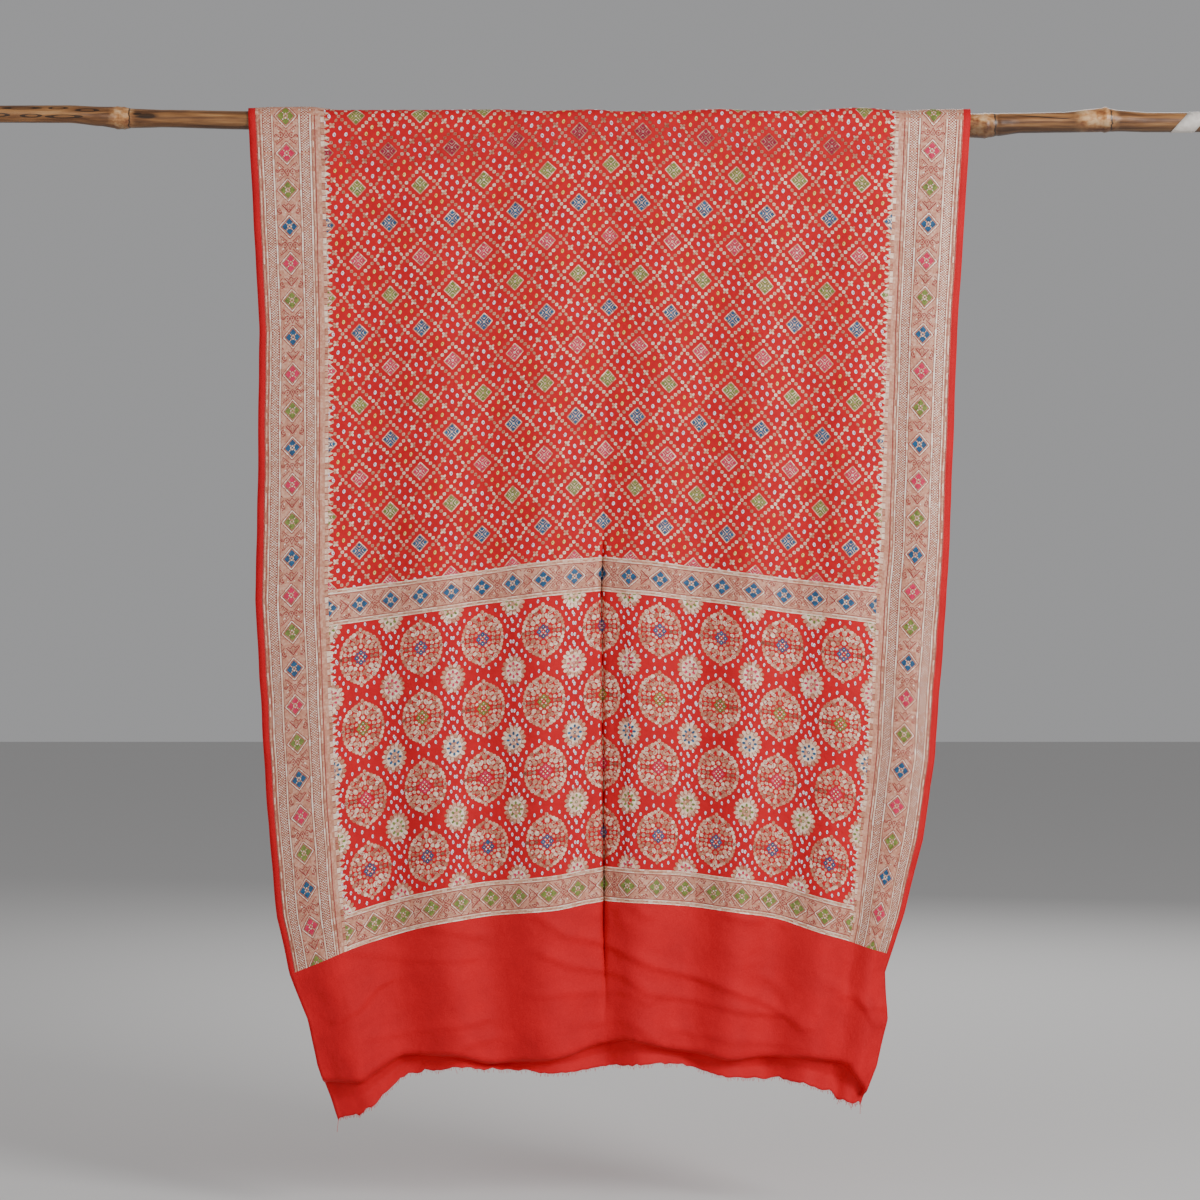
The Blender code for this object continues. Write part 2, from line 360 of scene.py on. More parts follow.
def drape():
    """The place of every grid point of the cloth, as rows by columns by (x, y, z)."""
    u, t = np.meshgrid(COLUMNS, CLOTH_ROWS)
    top, band, plain = (
        smoothed(np.interp(COLUMNS, HANG_AT, hang), HANG_ROUNDING)
        for hang in (HANG_TOP, HANG_BAND, HANG_PLAIN)
    )
    x_pole = np.interp(COLUMNS, OUTLINE_AT, OUTLINE[0][1:])
    pole_z = np.interp(x_pole, column(POLE, 0), column(POLE, 1))
    bend = np.interp(x_pole, column(POLE, 0), column(POLE, 2)) + POLE_GAP + CAD_THICKNESS / 2
    slack = eased(COLUMNS, column(TOP_SLACK, 0), column(TOP_SLACK, 1))
    a_row = (top - band) / (ROW_TOP - ROW_BAND)
    leaving = PLAIN_END + ROW * (ROW_TOP + (pole_z - top) / a_row)

    row = (t - PLAIN_END) / ROW
    z = np.where(row > ROW_BAND, band + (row - ROW_BAND) * a_row, plain + row * (band - plain) / ROW_BAND)
    fold = FOLD_DEPTH * growth(z) * eased(u, column(FOLDS, 0), column(FOLDS, 1))
    y = -bend - fold

    foot = CLOTH_ROWS < PLAIN_END
    y_design = -bend - FOLD_DEPTH * growth(plain) * eased(COLUMNS, column(FOLDS, 0), column(FOLDS, 1))
    z[foot], y[foot] = plain_end(plain, y_design, CLOTH_ROWS[foot])

    slit = np.interp(-z, -column(SLIT, 0), column(SLIT, 1))
    y += SLIT_DEPTH * slit * np.exp(-((np.abs(u) / SLIT_HALF_WIDTH) ** 1.3))
    for place, high, low, ridge in LONG_CREASES:
        ends = np.clip((high - z) / 0.05, 0, 1) * np.clip((z - low) / 0.05, 0, 1)
        y -= ridge * ends * np.exp(-(((u - place) / LONG_CREASE_HALF_WIDTH) ** 2))
    for height, reach, depth in BORDER_CREASES:
        inward = np.clip((u - HALF_WIDTH + reach) / 0.02, 0, 1)
        y += depth * inward * np.exp(-(((z - height) / 0.003) ** 2))

    over = t - leaving
    angle = np.clip(over / bend, 0, math.pi)
    on_arc = over > 0
    z = np.where(on_arc, pole_z + (bend + slack) * np.sin(angle), z)
    y = np.where(on_arc, -bend * np.cos(angle), y)

    down = (over - math.pi * bend) * BACK_HANG
    behind = down > 0
    z = np.where(behind, pole_z - down, z)
    back_fold = BACK_FOLD_DEPTH * growth(z) * eased(u, column(BACK_FOLDS, 0), column(BACK_FOLDS, 1))
    y = np.where(behind, bend + back_fold, y)

    loose = growth(z) ** 0.5
    y += loose * (0.0016 * waves(u, t, 16, 1.3) + 0.0007 * waves(u, t, 60, 2.9))
    x = row_places(y, z)
    x = np.where(behind, x * (1 - (1 - BACK_NARROWING) * growth(z)), x)
    front_foot = foot[:, None] & (t < PLAIN_END)
    y = np.where(front_foot, y - crease_ridges(x, z), y)
    x += 0.0012 * loose * waves(u, t, 22, 7.3)
    z += 0.0010 * loose * waves(u, t, 22, 8.9) * (t > 0.01)
    return np.stack([x, y, z], axis=-1)


COLUMNS = cloth_columns()
CLOTH_ROWS = cloth_rows()
PLACES = drape()


def grid_normals():
    across = np.gradient(PLACES, axis=1)
    along = np.gradient(PLACES, axis=0)
    normals = np.cross(across, along)
    return normals / np.maximum(np.linalg.norm(normals, axis=-1, keepdims=True), 1e-12)


NORMALS = grid_normals()


def read_grid(grid, u, t):
    """The grid's values at places of the flat cloth, straight between its points."""
    across = np.interp(u, COLUMNS, np.arange(len(COLUMNS)))
    along = np.interp(t, CLOTH_ROWS, np.arange(len(CLOTH_ROWS)))
    i = np.clip(across.astype(int), 0, len(COLUMNS) - 2)
    j = np.clip(along.astype(int), 0, len(CLOTH_ROWS) - 2)
    a, b = (across - i)[:, None], (along - j)[:, None]
    low = grid[j, i] * (1 - a) + grid[j, i + 1] * a
    high = grid[j + 1, i] * (1 - a) + grid[j + 1, i + 1] * a
    return low * (1 - b) + high * b


# ---------------------------------------------------------------- meshes and their maps


def bake_places(u, t, middle):
    """The baking map: the front half of the cloth beside the back half. middle is each face's t."""
    behind = middle > CLOTH_LENGTH / 2
    across = 0.02 + 0.46 * (u / CLOTH_WIDTH + 0.5) + np.where(behind, 0.5, 0.0)
    along = (np.where(behind, t - CLOTH_LENGTH / 2, t)) / (CLOTH_LENGTH / 2)
    return np.stack([across, 0.01 + 0.98 * along], axis=-1)


def add_maps(mesh, u, t, middle):
    """Two maps for each face corner: the flat cloth in metres, and the baking map."""
    flat = mesh.uv_layers.new(name="cloth")
    flat.data.foreach_set("uv", np.stack([u, t], axis=-1).ravel().astype(np.float32))
    bake = mesh.uv_layers.new(name="OFBake")
    bake.data.foreach_set("uv", bake_places(u, t, middle).ravel().astype(np.float32))


def mesh_of(name, points, corners, sizes):
    """A mesh from its points, the point of each face corner, and each face's number of corners."""
    mesh = bpy.data.meshes.new(name)
    mesh.vertices.add(len(points))
    mesh.vertices.foreach_set("co", np.asarray(points, np.float32).ravel())
    mesh.loops.add(len(corners))
    mesh.loops.foreach_set("vertex_index", np.asarray(corners, np.int32))
    mesh.polygons.add(len(sizes))
    starts = np.concatenate([[0], np.cumsum(sizes)[:-1]]).astype(np.int32)
    mesh.polygons.foreach_set("loop_start", starts)
    mesh.update(calc_edges=True)
    return mesh


def new_object(name, mesh):
    thing = bpy.data.objects.new(name, mesh)
    bpy.context.scene.collection.objects.link(thing)
    return thing


# ---------------------------------------------------------------- materials


def colour(red, green, blue):
    """A colour from its 0 to 255 screen values."""
    parts = [value / 255 for value in (red, green, blue)]
    return [part / 12.92 if part <= 0.04045 else ((part + 0.055) / 1.055) ** 2.4 for part in parts] + [1.0]


# The sockets of a Mix node that carry colours.
COLOUR_A, COLOUR_B, COLOUR_RESULT = 6, 7, 2


class Finish:
    """A material that is being put together, with short ways to add its nodes."""

    def __init__(self, name, roughness=0.6, metallic=0.0):
        self.material = bpy.data.materials.new(name)
        self.material.use_nodes = True
        self.nodes = self.material.node_tree.nodes
        self.links = self.material.node_tree.links
        self.shader = self.nodes["Principled BSDF"]
        self.set("Roughness", roughness)
        self.set("Metallic", metallic)

    def set(self, socket, value):
        self.shader.inputs[socket].default_value = value

    def link(self, source, target):
        self.links.new(source, target)

    def node(self, kind, **inputs):
        made = self.nodes.new(kind)
        for name, value in inputs.items():
            self.feed(made.inputs[name.replace("_", " ")], value)
        return made

    def feed(self, socket, value):
        if isinstance(value, bpy.types.NodeSocket):
            self.links.new(value, socket)
        else:
            socket.default_value = value

    def math(self, operation, first, second=0.0, third=0.0):
        made = self.nodes.new("ShaderNodeMath")
        made.operation = operation
        for socket, value in zip(made.inputs, (first, second, third)):
            self.feed(socket, value)
        return made.outputs[0]

    def mix(self, share, first, second):
        made = self.nodes.new("ShaderNodeMix")
        made.data_type = "RGBA"
        self.feed(made.inputs["Factor"], share)
        self.feed(made.inputs[COLOUR_A], first)
        self.feed(made.inputs[COLOUR_B], second)
        return made.outputs[COLOUR_RESULT]

    def ramp(self, value, *stops):
        made = self.nodes.new("ShaderNodeValToRGB")
        self.links.new(value, made.inputs["Fac"])
        stops = sorted(stops, key=lambda stop: stop[0])
        band = made.color_ramp
        while len(band.elements) < len(stops):
            band.elements.new(0.5)
        for element, (place, tint) in zip(band.elements, stops):
            element.position = place
            element.color = tint
        return made.outputs["Color"]

    def cloth_map(self):
        """Places on the flat cloth, in metres."""
        flat = self.nodes.new("ShaderNodeUVMap")
        flat.uv_map = "cloth"
        return flat.outputs["UV"]

    def place_map(self, scale):
        """Places in space, multiplied by scale."""
        place = self.nodes.new("ShaderNodeTexCoord")
        mapping = self.node("ShaderNodeMapping", Vector=place.outputs["Object"], Scale=scale)
        return mapping.outputs["Vector"]

    def noise(self, vector, scale, detail=2.0, roughness=0.5):
        made = self.node("ShaderNodeTexNoise", Vector=vector, Scale=scale, Detail=detail, Roughness=roughness)
        return made.outputs["Fac"]

    def attribute(self, name):
        made = self.nodes.new("ShaderNodeAttribute")
        made.attribute_name = name
        return made.outputs["Fac"]

    def bump(self, height, distance, strength=1.0):
        made = self.node("ShaderNodeBump", Height=height, Distance=distance, Strength=strength)
        self.links.new(made.outputs["Normal"], self.shader.inputs["Normal"])


# The two reds are a lit and a shaded copy of the georgette's red: painted light and shade.
RED_LIT = colour(214, 4, 24)
RED_SHADED = colour(176, 0, 16)
# The palest zari colour is a painted highlight.
ZARI_DARK = colour(176, 108, 82)
ZARI_MIDDLE = colour(216, 158, 128)
ZARI_HIGHLIGHT = colour(250, 226, 202)


def georgette(name, lit, shaded, crinkle):
    """Crepe georgette: a fine pebbled weave with soft crinkles, its colour mixed by noise between a lit and a
    shaded red as painted light and shade.
    """
    finish = Finish(name, roughness=0.72)
    finish.set("Specular IOR Level", 0.3)
    finish.set("Sheen Weight", 0.15)
    finish.set("Sheen Roughness", 0.4)
    finish.set("Sheen Tint", colour(255, 90, 90))
    flat = finish.cloth_map()
    # Painted light and shade: soft noise clouds between the lit and the shaded red.
    painted_light_and_shade = finish.noise(flat, 22.0, 3.0)
    finish.link(finish.mix(painted_light_and_shade, shaded, lit), finish.shader.inputs["Base Color"])
    pebble = finish.noise(flat, 620.0, 1.0)
    pucker = finish.noise(flat, 120.0, 2.0)
    height = finish.math("MULTIPLY_ADD", pucker, crinkle, pebble)
    finish.bump(height, 0.0005, 0.8)
    return finish.material


def zari(name, dark, middle, light, metallic=0.25, roughness=0.42):
    """Metal thread: each woven patch has its own tone, and a fine noise with that tone mixes a painted
    highlight colour, the palest of the three, into the thread's colour as painted glints.
    """
    finish = Finish(name, roughness=roughness, metallic=metallic)
    flat = finish.cloth_map()
    tone = finish.attribute("tone")
    # Painted glints: a fine noise, with each patch's tone, mixes in the palest colour as painted highlights.
    painted_glint = finish.noise(flat, 300.0, 1.0)
    value = finish.math("MULTIPLY_ADD", painted_glint, 0.6, finish.math("MULTIPLY_ADD", tone, 0.62, -0.12))
    tint = finish.ramp(value, (0.18, dark), (0.48, middle), (0.86, light))
    finish.link(tint, finish.shader.inputs["Base Color"])
    threads = finish.node("ShaderNodeTexWave", Vector=flat, Scale=180.0, Distortion=1.0)
    finish.bump(threads.outputs["Fac"], 0.0002, 0.6)
    return finish.material


def silk(name, dark, light, roughness=0.5):
    """Coloured silk thread of the meena work and the white and yellow ties."""
    finish = Finish(name, roughness=roughness)
    flat = finish.cloth_map()
    tone = finish.attribute("tone")
    grain = finish.noise(flat, 420.0, 1.0)
    value = finish.math("MULTIPLY_ADD", grain, 0.5, finish.math("MULTIPLY", tone, 0.5))
    finish.link(finish.mix(value, dark, light), finish.shader.inputs["Base Color"])
    finish.bump(grain, 0.0002, 0.5)
    return finish.material


# Each thread of the woven design: its material.
THREADS = {
    "zari": zari("zari", ZARI_DARK, ZARI_MIDDLE, ZARI_HIGHLIGHT),
    "cream": zari("zari_bright", colour(214, 170, 142), colour(240, 208, 180), colour(255, 244, 228)),
    "red": silk("red_ground_thread", colour(120, 4, 22), colour(170, 8, 34)),
    "blue": silk("meena_blue", colour(8, 44, 78), colour(18, 100, 146)),
    "green": silk("meena_green", colour(78, 88, 22), colour(138, 150, 62)),
    "magenta": silk("meena_magenta", colour(176, 8, 52), colour(226, 28, 88)),
    "white": silk("bandhani_white", colour(214, 196, 214), colour(255, 250, 255), 0.4),
    "yellow": silk("bandhani_yellow", colour(222, 176, 84), colour(246, 222, 136), 0.4),
}
MEENA_CYCLE = ("magenta", "blue", "green")

# ---------------------------------------------------------------- flat shapes, in millimetres


def turned(points, x, y, angle):
    cosine, sine = math.cos(angle), math.sin(angle)
    return [(x + a * cosine - b * sine, y + a * sine + b * cosine) for a, b in points]


def spot(x, y, half_wide, half_tall, turn=0.0, sides=8):
    """An oval of thread."""
    ring = [2 * math.pi * (step + 0.5) / sides for step in range(sides)]
    points = [(half_wide * math.cos(a), half_tall * math.sin(a)) for a in ring]
    return turned(points, x, y, math.radians(turn))


def block(x, y, half, turn=0.0):
    """A square of thread with its corners taken off."""
    cut = 0.62 * half
    points = [(half, -cut), (half, cut), (cut, half), (-cut, half)]
    points += [(-x, -y) for x, y in points]
    return turned(points, x, y, math.radians(turn))


def leaf(x, y, half_long, half_wide, turn=0.0):
    """A pointed leaf that lies along its turn."""
    points = [(-1, 0), (-0.5, -0.8), (0.1, -1), (0.6, -0.7), (1, 0), (0.6, 0.7), (0.1, 1), (-0.5, 0.8)]
    points = [(a * half_long, b * half_wide) for a, b in points]
    return turned(points, x, y, math.radians(turn))


def lozenge(x, y, half_wide, half_tall):
    return [(x + half_wide, y), (x, y + half_tall), (x - half_wide, y), (x, y - half_tall)]


def stroke(points, width):
    """A line of thread through points, as one four-sided shape for each stretch."""
    shapes = []
    for (x0, y0), (x1, y1) in zip(points, points[1:]):
        length = math.hypot(x1 - x0, y1 - y0)
        off_x, off_y = -(y1 - y0) / length * width / 2, (x1 - x0) / length * width / 2
        near = [(x0 - off_x, y0 - off_y), (x1 - off_x, y1 - off_y)]
        far = [(x1 + off_x, y1 + off_y), (x0 + off_x, y0 + off_y)]
        shapes.append(near + far)
    return shapes


def bow(x, y, radius, start, end, steps=7, tall=1.0):
    """Points round a centre, from one angle in degrees to another."""
    angles = [math.radians(start + (end - start) * step / steps) for step in range(steps + 1)]
    return [(x + radius * math.cos(a), y + radius * tall * math.sin(a)) for a in angles]


def frame_line(x, y, half_wide, half_tall, width, parts=4, dashes=1.0):
    """The outline of a diamond, each side in several short stretches."""
    shapes = []
    corners = lozenge(x, y, half_wide, half_tall)
    for (x0, y0), (x1, y1) in zip(corners, corners[1:] + corners[:1]):
        for part in range(parts):
            a, b = part / parts, (part + dashes) / parts
            ends = [(x0 + (x1 - x0) * share, y0 + (y1 - y0) * share) for share in (a, b)]
            shapes += stroke(ends, width)
    return shapes


def filled_diamond(x, y, half_wide, half_tall, parts=4):
    """A diamond as parts by parts small ones, so that it follows the cloth."""
    shapes = []
    for i in range(parts):
        for j in range(parts):
            a, b = (i + 0.5) / parts, (j + 0.5) / parts
            centre_x = x + half_wide * (a - b)
            centre_y = y + half_tall * (a + b - 1)
            shapes.append(lozenge(centre_x, centre_y, half_wide / parts, half_tall / parts))
    return shapes


def four_ways(shapes):
    """Shapes and their mirror images left to right and top to bottom."""
    found = []
    for side in (1, -1):
        for end in (1, -1):
            found += [[(side * x, end * y) for x, y in shape] for shape in shapes]
    return found


def two_sides(shapes):
    return [[(side * x, y) for x, y in shape] for side in (1, -1) for shape in shapes]


def area(points):
    following = points[1:] + points[:1]
    return sum(x0 * y1 - x1 * y0 for (x0, y0), (x1, y1) in zip(points, following)) / 2


class Motif:
    """Flat shapes about the motif's own middle, sorted by thread, each on its layer."""

    def __init__(self):
        self.shapes = []

    def add(self, thread, layer, shapes):
        for shape in shapes:
            order = shape if area(shape) > 0 else shape[::-1]
            self.shapes.append((thread, layer, order))
        return self

    def quarter_turned(self):
        found = Motif()
        for thread, layer, shape in self.shapes:
            found.shapes.append((thread, layer, [(-y, x) for x, y in shape]))
        return found


# ---------------------------------------------------------------- the motifs


def jaal_diamond(meena):
    """The coloured diamond of the net, with its ring of small squares."""
    motif = Motif()
    motif.add("zari", 1, frame_line(0, 0, 10.9, 11.4, 1.5, 4))
    motif.add(meena, 1, filled_diamond(0, 0, 10.2, 10.7, 4))
    spokes = []
    for side, up in ((1, 1), (-1, 1), (-1, -1), (1, -1)):
        end = (5.0 * side, 5.2 * up)
        spokes += stroke([(end[0] * 0.3, end[1] * 0.3), end], 0.75)
        for along in (-1, 1):
            aside = (along * 1.9, along * side * up * 1.9)
            ends = [(end[0] * share + aside[0], end[1] * share - aside[1]) for share in (0.45, 0.95)]
            spokes += stroke(ends, 0.6)
    motif.add("zari", 2, spokes)
    motif.add("cream", 2, [spot(0, 0, 1.5, 1.5)])
    motif.add("red", 3, [spot(0, 0, 0.7, 0.7)])
    motif.add("cream", 2, [lozenge(x, y, 0.9, 0.9) for x, y in ((4.3, 0), (-4.3, 0), (0, 4.6), (0, -4.6))])
    steps = 5
    for side in ((1, 1), (-1, 1), (-1, -1), (1, -1)):
        for step in range(steps):
            along = 22.0 * step / steps
            if side[0] * side[1] > 0:
                x, y = side[0] * (22.0 - along), side[1] * along
            else:
                x, y = side[0] * along, side[1] * (22.0 - along)
            motif.add("zari", 1, [block(x, y, 2.05)])
            motif.add("red", 2, [spot(x, y, 0.5, 0.6, sides=5)])
    return motif


def tied_dot(x, y, turn=0.0, size=1.0):
    """The outline of one tied dot."""
    return spot(x, y, 2.0 * size, 2.9 * size, turn, 7)


def net_flower():
    """Around the middle of each cell of the net: flowers, leaves and four white dots."""
    motif = Motif()
    for side in (1, -1):
        for end in (1, -1):
            x, y = 10.2 * side, 11.6 * end
            for turn in (45, 135, 225, 315):
                off = (2.2 * math.cos(math.radians(turn)), 2.2 * math.sin(math.radians(turn)))
                motif.add("zari", 1, [leaf(x + off[0], y + off[1], 2.3, 1.5, turn)])
            motif.add("red", 2, [spot(x, y, 0.55, 0.55, sides=5)])
            motif.add("zari", 1, [leaf(15.2 * side, 5.0 * end, 2.9, 1.8, side * end * 128)])
            motif.add("zari", 1, [leaf(5.0 * side, 18.4 * end, 2.9, 1.8, side * end * 128)])
    for x, y in ((0, 7.6), (0, -7.6), (6.6, 0), (-6.6, 0)):
        motif.add("white", 1, [tied_dot(x, y, 12)])
        motif.add("red", 2, [spot(x + 0.5, y - 0.3, 0.7, 1.0, sides=5)])
    return motif


def dot_cluster(thread):
    """Four tied dots between two neighbouring diamonds of the net."""
    motif = Motif()
    for x, y in ((0, 8.3), (0, -8.3), (7.4, 0), (-7.4, 0)):
        motif.add(thread, 1, [tied_dot(x, y, -10)])
        motif.add("red", 2, [spot(x - 0.4, y + 0.4, 0.7, 1.0, sides=5)])
    return motif


def framed_diamond(meena):
    """The border's diamond: a dark line, a pale line, and a flower of four coloured petals."""
    motif = Motif()
    motif.add("red", 1, frame_line(0, 0, 15.7, 15.7, 0.9, 6, 0.8))
    motif.add("cream", 1, frame_line(0, 0, 14.2, 14.2, 1.2, 5))
    motif.add("red", 1, frame_line(0, 0, 12.0, 12.0, 0.45, 4))
    for x, y in ((6.1, 0), (-6.1, 0), (0, 6.1), (0, -6.1)):
        motif.add(meena, 2, filled_diamond(x, y, 4.6, 4.6, 2))
        side_x, side_y = (0, 1) if x else (1, 0)
        for side in (1, -1):
            lobe_x, lobe_y = x * 0.62 + side * side_x * 3.6, y * 0.62 + side * side_y * 3.6
            motif.add(meena, 2, [lozenge(lobe_x, lobe_y, 1.7, 1.7)])
    motif.add("cream", 3, [lozenge(x, y, 1.1, 1.1) for x, y in ((2.3, 0), (-2.3, 0), (0, 2.3), (0, -2.3))])
    corners = ((3.6, 3.6), (-3.6, 3.6), (-3.6, -3.6), (3.6, -3.6))
    motif.add("cream", 3, [lozenge(x, y, 0.9, 0.9) for x, y in corners])
    motif.add(meena, 3, [spot(0, 0, 1.0, 1.0)])
    return motif


def fan_gap():
    """Between two framed diamonds: a fan that stands on its point, and a leaf on either side."""
    motif = Motif()
    lines = stroke([(-9.6, 4.8), (0, -5.4), (9.6, 4.8)], 1.1)
    lines += stroke([(-7.4, 5.6), (-3.6, 3.2), (0, 6.4), (3.6, 3.2), (7.4, 5.6)], 0.8)
    for reach in (-4.8, -1.7, 1.7, 4.8):
        lines += stroke([(reach * 0.35, -2.6), (reach, 2.6)], 0.4)
    side = stroke(bow(12.4, -2.6, 3.1, -150, 110), 0.8)
    side += stroke([(9.6, -5.8), (14.6, -8.2)], 0.8)
    side += stroke([(12.4, 5.2), (15.8, 1.6)], 0.7)
    side += stroke([(14.0, 8.4), (16.0, 10.6)], 0.8)
    side += [spot(12.4, -2.4, 0.8, 1.2)]
    motif.add("red", 1, lines + two_sides(side))
    motif.add("cream", 1, two_sides([leaf(11.4, 0.4, 1.4, 0.8, 60), leaf(4.6, -5.4, 1.3, 0.6, 45)]))
    return motif


def spade_gap():
    """Between two framed diamonds: a small vase, and three-lobed leaves with curled ends."""
    motif = Motif()
    lines = stroke(bow(0, 0.4, 3.1, -60, 240, 8), 0.8) + stroke([(-1.6, -2.4), (0, -6.0), (1.6, -2.4)], 0.7)
    lines += [spot(0, 0.6, 0.9, 1.3)]
    side = stroke(bow(7.4, 0.2, 3.3, 20, 300, 8), 0.8)
    side += stroke(bow(13.2, 1.2, 2.2, -200, 60, 6), 0.8)
    side += [spot(13.2, 1.2, 0.8, 0.8), spot(7.2, 0.2, 0.8, 1.1)]
    side += stroke([(4.0, 4.6), (8.8, 8.8), (13.6, 12.4)], 0.8)
    side += stroke([(4.0, -5.4), (9.0, -9.6), (14.2, -13.0)], 0.8)
    for reach in (6.4, 8.6, 10.8, 13.0):
        side += stroke([(reach, reach * 0.9 - 0.8), (reach + 1.3, reach * 0.9 - 3.0)], 0.6)
        side += stroke([(reach, -reach * 0.9 + 0.2), (reach + 1.3, -reach * 0.9 + 2.2)], 0.6)
    motif.add("red", 1, lines + two_sides(side))
    motif.add("cream", 1, two_sides([leaf(10.2, 4.6, 1.6, 0.8, 40), leaf(10.2, -4.8, 1.6, 0.8, -40)]))
    return motif


# Gold patches of one quarter of the medallion: x, y, half width, half height, turn.
MEDALLION_PATCHES = (
    (0.0, 36.4, 2.2, 2.6, 0),
    (3.9, 32.4, 2.7, 2.5, 30),
    (1.2, 28.4, 1.9, 3.4, 0),
    (8.6, 30.2, 2.9, 2.5, -20),
    (12.6, 27.8, 2.5, 2.4, -30),
    (9.4, 25.0, 3.6, 2.4, 30),
    (17.0, 24.0, 2.9, 2.9, 0),
    (20.8, 19.8, 2.5, 2.7, 0),
    (23.4, 15.0, 2.5, 2.9, 10),
    (25.2, 9.6, 2.3, 2.7, 10),
    (26.2, 4.6, 1.8, 2.2, 0),
    (26.6, 0.0, 2.8, 2.6, 0),
    (5.0, 20.4, 2.6, 3.8, 25),
    (0.0, 21.6, 1.7, 3.2, 0),
    (10.6, 18.8, 2.4, 3.0, -40),
    (16.0, 17.6, 2.9, 2.6, 40),
    (19.6, 12.4, 2.4, 3.0, -20),
    (13.4, 12.0, 3.0, 3.4, -40),
    (7.6, 13.6, 2.6, 2.6, 0),
    (20.8, 6.2, 2.6, 2.3, 20),
    (14.6, 5.2, 2.8, 2.2, -30),
    (20.0, 0.0, 2.5, 2.4, 0),
    (14.4, 0.0, 2.4, 2.2, 0),
    (0.0, 14.6, 2.6, 2.6, 0),
    (4.6, 9.4, 2.2, 1.7, -40),
    (8.8, 6.0, 2.2, 1.7, -45),
)
# Rings of dark outline in the quarter: x, y, radius, first angle, last angle.
MEDALLION_CURLS = (
    (17.0, 24.0, 1.5, 0, 330),
    (14.2, 13.4, 4.4, -70, 190),
    (8.4, 20.8, 3.6, 10, 240),
    (21.4, 14.4, 3.4, 80, 300),
    (9.6, 28.2, 3.0, 160, 330),
    (26.4, 0.0, 1.2, 0, 300),
    (17.6, 3.6, 3.2, 30, 250),
    (4.0, 31.8, 1.5, 120, 360),
)


def medallion(meena):
    """The pallu's large oval flower."""
    motif = Motif()
    patches = [spot(x, y, 1.08 * a, 1.08 * b, turn, 7) for x, y, a, b, turn in MEDALLION_PATCHES]
    motif.add("zari", 1, four_ways(patches))
    curls = []
    for x, y, radius, start, end in MEDALLION_CURLS:
        curls += stroke(bow(x, y, radius, start, end, 6), 0.62)
    motif.add("red", 2, four_ways(curls))
    for x, y in ((5.5, 0), (-5.5, 0), (0, 6.3), (0, -6.3)):
        motif.add(meena, 2, [lozenge(x, y, 3.5, 3.8)])
        motif.add("cream", 3, [spot(x, y, 0.8, 0.8, sides=6)])
    motif.add(meena, 2, four_ways([lozenge(4.9, 5.3, 1.6, 1.7)]))
    motif.add("cream", 2, four_ways([lozenge(2.6, 3.0, 1.3, 1.4)]))
    motif.add("cream", 2, [spot(0, 0, 1.1, 1.1)])
    return motif


def rosette(meena):
    """The pallu's small scalloped flower."""
    motif = Motif()
    rings = ((0.42, 0.70), (0.70, 0.92))
    count = 16
    for inner, outer in rings:
        for step in range(count):
            wedge = [(x, y) for share, ends in ((inner, (0, 1)), (outer, (1, 0))) for x, y in
                     [(15.0 * share * math.cos(2 * math.pi * (step + end) / count),
                       17.8 * share * math.sin(2 * math.pi * (step + end) / count)) for end in ends]]
            motif.add("zari" if inner > 0.5 else "cream", 1, [wedge])
    for step in range(count):
        angle = 2 * math.pi * (step + 0.5) / count
        x, y = 13.8 * math.cos(angle), 16.6 * math.sin(angle)
        motif.add("zari", 1, [spot(x, y, 3.3, 2.6, math.degrees(angle), 7)])
        edge = 2 * math.pi * step / count
        motif.add("red", 2, stroke([(11.2 * math.cos(edge), 13.4 * math.sin(edge)),
                                    (14.4 * math.cos(edge), 17.2 * math.sin(edge))], 0.8))
    motif.add("zari", 1, filled_diamond(0, 0, 7.5, 9.0, 2))
    for step in range(8):
        angle = math.pi * step / 4
        reach = 7.3 if step % 2 else 7.6
        x, y = reach * math.cos(angle), 1.16 * reach * math.sin(angle)
        motif.add(meena, 2, [spot(x, y, 2.5, 1.75, math.degrees(angle), 7)])
    motif.add(meena, 2, [spot(0, 0, 2.0, 2.2)])
    motif.add("cream", 3, four_ways([spot(2.6, 3.0, 1.0, 1.1, 0, 6)]) + [spot(0, 0, 0.9, 0.9)])
    return motif


# White tied dots beside one quarter of a medallion: x, y.
PALLU_DOTS = (
    (7.0, 41.5), (17.0, 36.5), (24.0, 29.0), (29.5, 20.5), (39.6, 20.5), (35.0, 27.0), (34.0, 12.5),
    (39.0, 7.5), (32.0, 1.0),
)


def pallu_dots():
    motif = Motif()
    for side in (1, -1):
        for end in (1, -1):
            for index, (x, y) in enumerate(PALLU_DOTS):
                shift = 0.9 * math.sin(5.1 * index + 2.3 * side + 1.7 * end)
                place = (side * (x + shift), end * (y - shift) + 0.8 * side)
                motif.add("white", 1, [spot(*place, 1.5, 2.7, 6 * side, 7)])
                motif.add("red", 2, [spot(place[0] + 0.4, place[1] - 0.2, 0.5, 1.0, 0, 5)])
    return motif


# ---------------------------------------------------------------- weaving the motifs into the cloth


